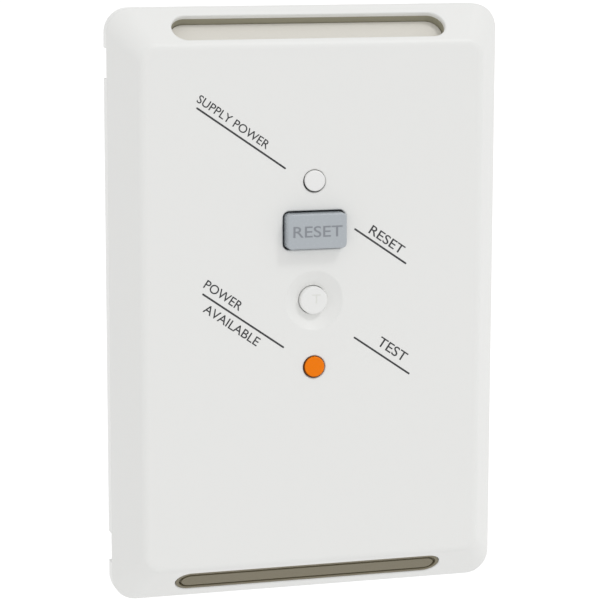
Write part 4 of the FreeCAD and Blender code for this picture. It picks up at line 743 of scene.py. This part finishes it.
@dataclass(frozen=True)
class CardStock(Finish):
    """Uncoated card with its fibres."""

    swing: float = 0.04
    depth_mm: float = 0.01
    edge_mm: float = 0.0
    fibres_per_mm: float = 6.0
    fibre_stretch: tuple[float, float, float] = (0.3, 1.0, 1.0)
    fibre_shade: float = 0.94

    def dress(self, graph: MaterialGraph) -> None:
        """Add the fibres.

        Args:
            graph: The material's inside.
        """
        drawn = graph.scaled(graph.place(), self.fibre_stretch)
        fibres = graph.noise(drawn, self.fibres_per_mm / MM, detail=3.0)
        low = darker(self.colour, self.fibre_shade)
        graph.set("Base Color", graph.tint(fibres, low, self.colour))
        self.vary_roughness(graph, fibres)
        self.emboss(graph, fibres)


COVER_WHITE = MouldedPlastic("cover_white", (0.866, 0.868, 0.852), 0.42, depth_mm=0.0025,
                             edge_mm=0.25, shade=0.993, film=0.2)
BUTTON_GREY = MouldedPlastic("button_grey", (0.452, 0.487, 0.518), 0.24, depth_mm=0.0012,
                             edge_mm=0.1, shade=0.98)
BUTTON_WHITE = MouldedPlastic("button_white", (0.880, 0.882, 0.868), 0.36, depth_mm=0.002,
                              edge_mm=0.12, shade=0.99)
# Both lenses carry a ring of painted shade, widest at the lower left.
LENS_CLEAR = ShadowRingLens("lens_clear", (0.93, 0.93, 0.92), 0.16, pass_light=0.04,
                        node="supply_lens")
LENS_ORANGE = ShadowRingLens("lens_orange", (0.95, 0.215, 0.002), 0.22, shine=0.08,
                         node="power_lens", shade_ring_colour=(0.2, 0.05, 0.0), shade_ring_mm=0.18,
                         unshaded_up_mm=0.11)
GRID_GREY = MouldedPlastic("grid_grey", (0.62, 0.62, 0.58), 0.48)
HOLDER_OLIVE = MouldedPlastic("holder_olive", screen(155, 151, 132), 0.5, grains_per_mm=4.0)
# Darker than the holder: the blank's own olive with painted shade for the slot that faces down.
BLANK_OLIVE_PAINTED_SHADE = MouldedPlastic("blank_olive_painted_shade", screen(118, 110, 87), 0.5, grains_per_mm=4.0)
CASE_GREY = MouldedPlastic("case_grey", (0.52, 0.53, 0.525), 0.5, depth_mm=0.006, film=0.4)
CHASSIS_BLACK = MouldedPlastic("chassis_black", (0.012, 0.012, 0.014), 0.55, depth_mm=0.008)
CARRIAGE_RED = MouldedPlastic("carriage_red", (0.30, 0.02, 0.015), 0.5, depth_mm=0.006)
BOBBIN_NYLON = MouldedPlastic("bobbin_nylon", (0.74, 0.69, 0.55), 0.45)
CHIP_BLACK = MouldedPlastic("chip_black", (0.012, 0.012, 0.013), 0.6, grains_per_mm=9.0)
ARRESTOR_BLUE = MouldedPlastic("arrestor_blue", (0.015, 0.07, 0.32), 0.22, coat=0.5,
                               grains_per_mm=0.8, depth_mm=0.03, edge_mm=0.6)
FILM_YELLOW = MouldedPlastic("film_yellow", (0.72, 0.36, 0.02), 0.25, coat=0.3, edge_mm=0.3)
CAN_SLEEVE = MouldedPlastic("can_sleeve", (0.006, 0.01, 0.025), 0.2, coat=0.5, edge_mm=0.3)
LAMP_GLASS = LensPlastic("lamp_glass", (0.86, 0.88, 0.86), 0.08, pass_light=0.7)
LAMP_ORANGE = LensPlastic("lamp_orange", (0.9, 0.2, 0.01), 0.08, pass_light=0.5)
LINK_BROWN = MouldedPlastic("link_brown", (0.09, 0.025, 0.008), 0.3, grains_per_mm=1.0, coat=0.2)
LINK_BLUE = MouldedPlastic("link_blue", (0.02, 0.08, 0.35), 0.3, grains_per_mm=1.0, coat=0.2)
CORE_GREY = MouldedPlastic("core_grey", (0.05, 0.052, 0.055), 0.55, grains_per_mm=2.0,
                           depth_mm=0.03, edge_mm=0.3)
SPRING_STEEL = Metal("spring_steel", (0.55, 0.55, 0.54), 0.28, lines_per_mm=8.0)
PLATED_STEEL = Metal("plated_steel", (0.62, 0.62, 0.60), 0.34, along=(1.0, 0.06, 1.0),
                     tarnish=(0.5, 0.45, 0.3))
YOKE_STEEL = Metal("yoke_steel", (0.52, 0.53, 0.54), 0.36)
COPPER = Metal("copper", (0.75, 0.36, 0.2), 0.32, tarnish=(0.25, 0.1, 0.06))
TERMINAL_BRASS = Metal("terminal_brass", (0.72, 0.52, 0.22), 0.33, along=(0.06, 1.0, 1.0),
                       tarnish=(0.3, 0.2, 0.08))
CONTACT_SILVER = Metal("contact_silver", (0.86, 0.85, 0.82), 0.25, tarnish=(0.4, 0.36, 0.3))
TINNED_LEAD = Metal("tinned_lead", (0.68, 0.68, 0.67), 0.3)
COIL_WIRE = EnamelledWire("copper_wire", (0.55, 0.16, 0.05), 0.3)
RESISTOR_TAN = BandedPart("resistor_tan", (0.52, 0.36, 0.17), 0.35, ring=(0.16, 0.05, 0.02),
                          centre_mm=1.27)
DIODE_BLACK = BandedPart("diode_black", (0.014, 0.014, 0.015), 0.3, pitch_mm=10.0, width=0.03,
                         centre_mm=-15.1)
BOARD_GREEN = CircuitLaminate("board_green", (0.012, 0.11, 0.035), 0.35)
LABEL_CARD = CardStock("label_card", screen(233, 230, 222), 0.75)
FACE_INK = PrintInk("face_ink", screen(54, 55, 57), 0.55, thin=screen(70, 71, 73))
BUTTON_INK = PrintInk("button_ink", screen(139, 143, 149), 0.5, thin=screen(147, 151, 157))
# Painted shade: the T is a film a little darker than the button, standing in for the shade in a
# moulded T.
BUTTON_MARK_SHADE = PrintInk("button_mark_shade", screen(231, 232, 227), 0.45, thin=screen(234, 235, 230))


# Mesh building

def dress(node: str, finish: Finish) -> None:
    """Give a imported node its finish.

    Args:
        node: The node's name.
        finish: The finish for all of it.
    """
    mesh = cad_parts[node].data
    mesh.materials.clear()
    mesh.materials.append(finish.material())
    log.info("%s: %s", node, finish.name)


def add_piece(name: str, mesh: Mesh, finish: Finish, body: Body) -> Object:
    """Put a mesh in the scene as a piece of the object.

    Args:
        name: The piece's name.
        mesh: Its mesh, in the object's own coordinates.
        finish: Its finish.
        body: The body that it rides on.

    Returns:
        The piece.
    """
    mesh.name = name
    mesh.materials.clear()
    mesh.materials.append(finish.material())
    piece = bpy.data.objects.new(name, mesh)
    bpy.context.scene.collection.objects.link(piece)
    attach(piece, body.value)
    log.info("%s: %d faces, %s", name, len(mesh.polygons), finish.name)
    return piece


def lettering(text: str, width: float, height: float, thickness: float,
              weight: float = 0.0) -> Mesh:
    """Cut letters out of a thin film.

    Args:
        text: The letters, all capitals or figures.
        width: Their length in metres.
        height: Their height in metres.
        thickness: The film's thickness in metres.
        weight: How far the strokes are thickened, as a share of the letters' size.

    Returns:
        A mesh from the origin along +X and +Y, with its front towards +Z.
    """
    curve = bpy.data.curves.new(text, "FONT")
    curve.body = text
    curve.resolution_u = 5
    curve.offset = weight
    curve.extrude = 0.5
    carrier = bpy.data.objects.new(text, curve)
    bpy.context.scene.collection.objects.link(carrier)
    bpy.context.view_layer.update()
    graph = bpy.context.evaluated_depsgraph_get()
    mesh = bpy.data.meshes.new_from_object(carrier.evaluated_get(graph))
    bpy.data.objects.remove(carrier)
    bpy.data.curves.remove(curve)
    places = [vertex.co.copy() for vertex in mesh.vertices]
    low = Vector([min(place[i] for place in places) for i in range(3)])
    high = Vector([max(place[i] for place in places) for i in range(3)])
    span = high - low
    for vertex in mesh.vertices:
        share = [(vertex.co[i] - low[i]) / span[i] for i in range(3)]
        vertex.co = (share[0] * width, share[1] * height, share[2] * thickness)
    return mesh


def rounded_bar(length: float, width: float, thickness: float, end_steps: int = 6) -> Mesh:
    """A thin bar with round ends.

    Args:
        length: Its whole length in metres.
        width: Its width in metres.
        thickness: Its thickness in metres.
        end_steps: How many edges each round end has.

    Returns:
        A mesh along +X from the origin, centred on Y, with its front towards +Z.
    """
    radius = width / 2
    outline = []
    for centre, start in ((length - radius, -math.pi / 2), (radius, math.pi / 2)):
        for step in range(end_steps + 1):
            angle = start + math.pi * step / end_steps
            outline.append((centre + radius * math.cos(angle), radius * math.sin(angle)))
    work = bmesh.new()
    low = [work.verts.new((x, y, 0.0)) for x, y in outline]
    high = [work.verts.new((x, y, thickness)) for x, y in outline]
    work.faces.new(high)
    work.faces.new(list(reversed(low)))
    count = len(outline)
    for index in range(count):
        after = (index + 1) % count
        work.faces.new((low[index], low[after], high[after], high[index]))
    mesh = bpy.data.meshes.new("bar")
    work.to_mesh(mesh)
    work.free()
    return mesh


def merged(parts: Iterable[tuple[Mesh, Matrix]]) -> Mesh:
    """Join meshes into one, each moved by its own matrix.

    Args:
        parts: Pairs of a mesh and where it goes. The meshes are used up.

    Returns:
        The joined mesh.
    """
    work = bmesh.new()
    for mesh, matrix in parts:
        mesh.transform(matrix)
        work.from_mesh(mesh)
        bpy.data.meshes.remove(mesh)
    joined = bpy.data.meshes.new("joined")
    work.to_mesh(joined)
    work.free()
    return joined


def facing(origin: Vector, across: Vector, normal: Vector) -> Matrix:
    """A matrix that lays a flat mesh on a surface.

    Args:
        origin: Where the mesh's own origin goes.
        across: Where its +X goes.
        normal: Where its +Z goes.

    Returns:
        The matrix.
    """
    across = across.normalized()
    normal = normal.normalized()
    upward = normal.cross(across)
    turn = Matrix((across, upward, normal)).transposed().to_4x4()
    return Matrix.Translation(origin) @ turn


# Sub-assemblies

def finished(**nodes: Finish) -> dict[str, Finish]:
    """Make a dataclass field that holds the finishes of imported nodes."""
    return field(default_factory=lambda: dict(nodes))


@dataclass
class Assembly:
    """A sub-assembly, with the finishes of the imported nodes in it."""

    finishes: dict[str, Finish] = finished()

    def build(self) -> None:
        """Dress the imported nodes."""
        for node, finish in self.finishes.items():
            dress(node, finish)


@dataclass(frozen=True)
class YieldingPart:
    """A spring or blade, shown by a copy of its imported node's mesh."""

    node: str
    joint: str
    axis: Axis
    seat: int
    travel: float
    finish: Finish
    slot: str

    def build(self) -> None:
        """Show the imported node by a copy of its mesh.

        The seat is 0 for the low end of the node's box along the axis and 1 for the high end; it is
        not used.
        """
        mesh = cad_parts[self.node].data.copy()
        piece = add_piece(f"{self.node}_yielding", mesh, self.finish, Body.WALL)
        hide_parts(self.node)
        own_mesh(piece)


@dataclass
class FrontPlate(Assembly):
    """The cover with its lenses and the label trays behind its slots."""

    finishes: dict[str, Finish] = finished(
        cover_plate=COVER_WHITE, supply_lens=LENS_CLEAR, power_lens=LENS_ORANGE,
        label_holder_top=HOLDER_OLIVE, label_holder_bottom=HOLDER_OLIVE,
        label_strip_top=LABEL_CARD, label_blank_bottom=BLANK_OLIVE_PAINTED_SHADE)


@dataclass(frozen=True)
class Word:
    """A printed word, placed by its distances from the start of its leader line, in mm."""

    text: str
    start: float
    end: float
    foot: float
    head: float


@dataclass(frozen=True)
class Leader:
    """A leader line with its words, placed by the line's two ends on the face, in mm."""

    name: str
    start: tuple[float, float]
    end: tuple[float, float]
    words: tuple[Word, ...]


@dataclass
class FacePrint(Assembly):
    """The printed words and leader lines beside the controls."""

    line_width: float = 0.36 * MM
    film: float = 0.02 * MM
    stroke_weight: float = 0.005
    leaders: tuple[Leader, ...] = (
        Leader("supply_legend", (-23.45, 39.62), (-5.98, 27.56),
               (Word("SUPPLY POWER", -0.9, 15.95, 0.93, 2.6),)),
        Leader("reset_legend", (8.3, 15.12), (18.77, 7.92),
               (Word("RESET", 2.65, 10.9, 0.85, 2.72),)),
        Leader("power_legend", (-22.46, 3.5), (-6.32, -7.72),
               (Word("POWER", -0.8, 7.95, 1.1, 2.92), Word("AVAILABLE", 1.8, 14.9, -2.82, -1.03))),
        Leader("test_legend", (8.3, -6.52), (19.67, -14.36),
               (Word("TEST", 4.65, 11.5, 1.25, 3.25),)),
    )

    def build(self) -> None:
        """Print each leader line with its words on the flat of the cover."""
        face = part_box("cover_plate")[0].y
        for leader in self.leaders:
            self.print_leader(leader, face)

    def print_leader(self, leader: Leader, face: float) -> None:
        """Print one leader line and its words.

        Args:
            leader: The line and its words.
            face: The Y of the cover's flat, in metres.
        """
        start = Vector((leader.start[0] * MM, face, leader.start[1] * MM))
        end = Vector((leader.end[0] * MM, face, leader.end[1] * MM))
        along = (end - start).normalized()
        upward = ROOMWARD.cross(along)
        half = along * self.line_width / 2
        bar = rounded_bar((end - start).length + self.line_width, self.line_width, self.film)
        parts = [(bar, facing(start - half, along, ROOMWARD))]
        for word in leader.words:
            mesh = lettering(word.text, (word.end - word.start) * MM, (word.head - word.foot) * MM,
                             self.film, self.stroke_weight)
            corner = start + along * word.start * MM + upward * word.foot * MM
            parts.append((mesh, facing(corner, along, ROOMWARD)))
        add_piece(leader.name, merged(parts), FACE_INK, Body.WALL)


@dataclass
class ResetControl(Assembly):
    """The reset button with its printed word, its spring and its clip."""

    finishes: dict[str, Finish] = finished(reset_button=BUTTON_GREY, reset_clip=SPRING_STEEL)
    word_left: float = -4.9 * MM
    word_right: float = 5.06 * MM
    word_foot: float = 14.14 * MM
    word_head: float = 16.34 * MM
    film: float = 0.02 * MM
    stroke_weight: float = 0.005
    spring: YieldingPart = YieldingPart("reset_spring", "reset_press", Axis.Y, 1, 1.8 * MM,
                                        SPRING_STEEL, "spring_steel")

    def build(self) -> None:
        """Dress the button, show its spring and print its word on the front of it."""
        super().build()
        self.spring.build()
        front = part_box("reset_button")[0].y
        mesh = lettering("RESET", self.word_right - self.word_left,
                         self.word_head - self.word_foot, self.film, self.stroke_weight)
        corner = Vector((self.word_left, front, self.word_foot))
        placed = merged([(mesh, facing(corner, Axis.X.value, ROOMWARD))])
        add_piece("reset_word", placed, BUTTON_INK, Body.RESET)


@dataclass
class TestControl(Assembly):
    """The round test button with its mark, and the leaf contact behind it."""

    finishes: dict[str, Finish] = finished(test_button=BUTTON_WHITE, test_stud=TERMINAL_BRASS)
    mark_width: float = 1.7 * MM
    mark_height: float = 1.75 * MM
    mark_shift: float = 0.47 * MM
    mark_rise: float = 0.3 * MM
    film: float = 0.03 * MM
    blade: YieldingPart = YieldingPart("test_blade", "test_press", Axis.Y, 1, 1.1 * MM, COPPER,
                                       "copper")

    def build(self) -> None:
        """Dress the button and its contact, and put the mark on its front."""
        super().build()
        self.blade.build()
        low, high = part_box("test_button")
        middle = (low.z + high.z) / 2 + self.mark_rise
        mesh = lettering("T", self.mark_width, self.mark_height, self.film)
        corner = Vector((self.mark_shift - self.mark_width / 2, low.y,
                         middle - self.mark_height / 2))
        placed = merged([(mesh, facing(corner, Axis.X.value, ROOMWARD))])
        add_piece("test_mark", placed, BUTTON_MARK_SHADE, Body.TEST)


@dataclass
class MountingGrid(Assembly):
    """The grid plate that is screwed to the wall box."""

    finishes: dict[str, Finish] = finished(grid_plate=GRID_GREY)


@dataclass
class MechanismCase(Assembly):
    """The case of the mechanism, its screws and the raised figures by its terminals."""

    finishes: dict[str, Finish] = finished(
        mechanism_lid=CASE_GREY, case_sides=CASE_GREY, case_ends=CASE_GREY, case_back=CASE_GREY,
        case_supports=CASE_GREY, housing_screws=PLATED_STEEL)
    relief: float = 0.15 * MM
    figure_height: float = 2.6 * MM
    figure_width: float = 1.7 * MM
    figure_gap: float = 5.6 * MM
    figures: tuple[tuple[str, str, int], ...] = (
        ("1", "line_terminals", -1), ("2", "line_terminals", 1),
        ("3", "load_terminals", -1), ("4", "load_terminals", 1), ("5", "earth_terminal", 0))

    def build(self) -> None:
        """Dress the case and raise the figures on its back."""
        super().build()
        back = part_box("case_back")[1].y
        half_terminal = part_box("earth_terminal")[1].x
        parts = []
        for figure, node, side in self.figures:
            low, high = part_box(node)
            middle_x = side * (high.x - half_terminal)
            middle_z = (low.z + high.z) / 2
            inward = -1 if middle_z > 0 else 1
            foot = middle_z + inward * self.figure_gap - self.figure_height / 2
            mesh = lettering(figure, self.figure_width, self.figure_height, self.relief)
            corner = Vector((middle_x + self.figure_width / 2, back, foot))
            parts.append((mesh, facing(corner, -Axis.X.value, Axis.Y.value)))
        add_piece("terminal_figures", merged(parts), CASE_GREY, Body.WALL)


@dataclass
class CircuitBoard(Assembly):
    """The board and what is soldered to it."""

    finishes: dict[str, Finish] = finished(
        circuit_board=BOARD_GREEN, control_chip=CHIP_BLACK, surge_arrestor=ARRESTOR_BLUE,
        film_capacitor=FILM_YELLOW, smoothing_capacitor=CAN_SLEEVE, trip_thyristor=CHIP_BLACK,
        board_resistors=RESISTOR_TAN, board_diodes=DIODE_BLACK, test_resistor=RESISTOR_TAN,
        supply_lamp=LAMP_GLASS, power_lamp=LAMP_ORANGE, supply_pins=TINNED_LEAD,
        sense_leads=TINNED_LEAD, coil_leads=TINNED_LEAD)


@dataclass
class ContactGear(Assembly):
    """The fixed strips and the carriage with the moving contacts."""

    finishes: dict[str, Finish] = finished(
        mechanism_chassis=CHASSIS_BLACK, line_contact_strips=COPPER, load_contact_strips=COPPER,
        load_terminal_tabs=COPPER, fixed_tips=CONTACT_SILVER, moving_tips=CONTACT_SILVER,
        moving_contacts=COPPER, contact_springs=SPRING_STEEL, opening_springs=SPRING_STEEL,
        contact_carriage=CARRIAGE_RED)


@dataclass
class TripGear(Assembly):
    """The latch and the trip coil."""

    finishes: dict[str, Finish] = finished(
        latch_lever=PLATED_STEEL, latch_pin=PLATED_STEEL, trip_plunger=YOKE_STEEL,
        solenoid_bobbin=BOBBIN_NYLON, solenoid_coil=COIL_WIRE, solenoid_yoke=YOKE_STEEL)
    spring: YieldingPart = YieldingPart("latch_spring", "latch_turn", Axis.Z, 0, 1.7 * MM,
                                        SPRING_STEEL, "spring_steel")

    def build(self) -> None:
        """Dress the latch and the coil, and show the latch's spring."""
        super().build()
        self.spring.build()


@dataclass
class SensingGear(Assembly):
    """The ring core, its winding and the two links through it."""

    finishes: dict[str, Finish] = finished(
        sensing_core=CORE_GREY, sense_winding=COIL_WIRE, active_link=LINK_BROWN,
        neutral_link=LINK_BLUE)


@dataclass
class Terminals(Assembly):
    """The brass terminals and their screws."""

    finishes: dict[str, Finish] = finished(
        line_terminals=TERMINAL_BRASS, load_terminals=TERMINAL_BRASS,
        earth_terminal=TERMINAL_BRASS, terminal_screws=PLATED_STEEL)


# Studio

@dataclass
class Studio:
    """Floor, light and camera."""

    floor_drop: float = 0.19
    floor_reach: float = 30.0
    floor_colour: Colour = (0.935, 0.935, 0.935)
    floor_rough: float = 0.9
    floor_lift: float = 0.25
    ambient: float = 0.785
    side_fill: float = 0.042
    key_strength: float = 0.532
    key_angle: float = 11.0
    key_from: tuple[float, float, float] = (0.82, -1.0, 1.72)
    yaw: float = 15.908
    pitch: float = 9.692
    roll: float = 0.112
    distance: float = 0.50134
    shift_right: float = -0.000067
    shift_up: float = -0.000252
    sensor: float = 36.0
    lens: float = 150.31

    def build(self) -> None:
        """Make the floor, the light and the camera."""
        bpy.context.scene.view_settings.view_transform = "Standard"
        self.lay_floor()
        self.light_world()
        self.hang_key()
        self.set_camera()

    def seen_directly(self, graph: Graph) -> NodeSocket:
        """Tell the rays that show the background from those that light the object.

        Args:
            graph: The node tree to add to.

        Returns:
            1 for camera, glossy and transmitted rays and 0 for the rest.
        """
        rays = graph.add("LightPath").outputs
        sharp = graph.math("MAXIMUM", rays["Is Glossy Ray"], rays["Is Transmission Ray"])
        return graph.math("MAXIMUM", rays["Is Camera Ray"], sharp)

    def lay_floor(self) -> None:
        """Lay a pale floor, white to the camera where no shadow falls, and clear from below."""
        reach = self.floor_reach
        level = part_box("cover_plate")[0].z - self.floor_drop
        mesh = bpy.data.meshes.new("floor")
        corners = [(-reach, -reach, level), (reach, -reach, level), (reach, reach, level),
                   (-reach, reach, level)]
        mesh.from_pydata(corners, [], [(0, 1, 2, 3)])
        floor = bpy.data.objects.new("floor", mesh)
        bpy.context.scene.collection.objects.link(floor)
        material = bpy.data.materials.new("studio_floor")
        material.use_nodes = True
        graph = MaterialGraph(material.node_tree, material.node_tree.nodes["Principled BSDF"])
        graph.set("Base Color", solid(self.floor_colour))
        graph.set("Roughness", self.floor_rough)
        graph.set("Specular IOR Level", 0.0)
        graph.set("Emission Color", solid((1.0, 1.0, 1.0)))
        lift = graph.math("MULTIPLY", self.seen_directly(graph), self.floor_lift)
        graph.set("Emission Strength", lift)
        underside = graph.add("NewGeometry").outputs["Backfacing"]
        graph.set("Alpha", graph.math("SUBTRACT", 1.0, underside))
        mesh.materials.append(material)

    def light_world(self) -> None:
        """Make a pale surround, brighter on the left, and white where the camera sees it."""
        world = bpy.data.worlds.new("studio")
        world.use_nodes = True
        graph = MaterialGraph(world.node_tree, world.node_tree.nodes["Background"])
        graph.set("Color", solid((1.0, 1.0, 1.0)))
        toward = graph.add("SeparateXYZ")
        graph.join(graph.add("TexCoord").outputs["Generated"], toward.inputs[0])
        dimming = graph.math("MULTIPLY", toward.outputs["X"], self.ambient * self.side_fill)
        level = graph.math("SUBTRACT", self.ambient, dimming)
        graph.set("Strength", graph.math("MAXIMUM", self.seen_directly(graph), level))
        bpy.context.scene.world = world

    def hang_key(self) -> None:
        """Hang a weak, wide key light at the upper right."""
        lamp = bpy.data.lights.new("key", "SUN")
        lamp.energy = self.key_strength
        lamp.angle = math.radians(self.key_angle)
        key = bpy.data.objects.new("key", lamp)
        key.rotation_euler = Vector(self.key_from).to_track_quat("Z", "Y").to_euler()
        bpy.context.scene.collection.objects.link(key)

    def set_camera(self) -> None:
        """Stand the camera where the photograph was taken from."""
        yaw, pitch, roll = (math.radians(angle) for angle in (self.yaw, self.pitch, self.roll))
        back = Vector((-math.sin(yaw) * math.cos(pitch), -math.cos(yaw) * math.cos(pitch),
                       math.sin(pitch)))
        right = Vector((math.cos(yaw), -math.sin(yaw), 0.0))
        upward = right.cross(-back)
        across = right * math.cos(roll) + upward * math.sin(roll)
        upright = upward * math.cos(roll) - right * math.sin(roll)
        eye = back * self.distance + across * self.shift_right + upright * self.shift_up
        lens = bpy.data.cameras.new("camera")
        lens.sensor_width = self.sensor
        lens.lens = self.lens
        lens.clip_start = 0.01
        lens.clip_end = 100.0
        camera = bpy.data.objects.new("camera", lens)
        turn = Matrix((across, upright, back)).transposed().to_4x4()
        camera.matrix_world = Matrix.Translation(eye) @ turn
        bpy.context.scene.collection.objects.link(camera)
        bpy.context.scene.camera = camera


def main() -> None:
    """Build each sub-assembly in order, and then the studio round it."""
    logging.basicConfig(level=logging.INFO, format="%(name)s %(message)s")
    for assembly in (FrontPlate(), FacePrint(), ResetControl(), TestControl(), MountingGrid(),
                     MechanismCase(), CircuitBoard(), ContactGear(), TripGear(), SensingGear(),
                     Terminals(), Studio()):
        assembly.build()
        log.info("%s is built", type(assembly).__name__)


if __name__ == "__main__":
    main()
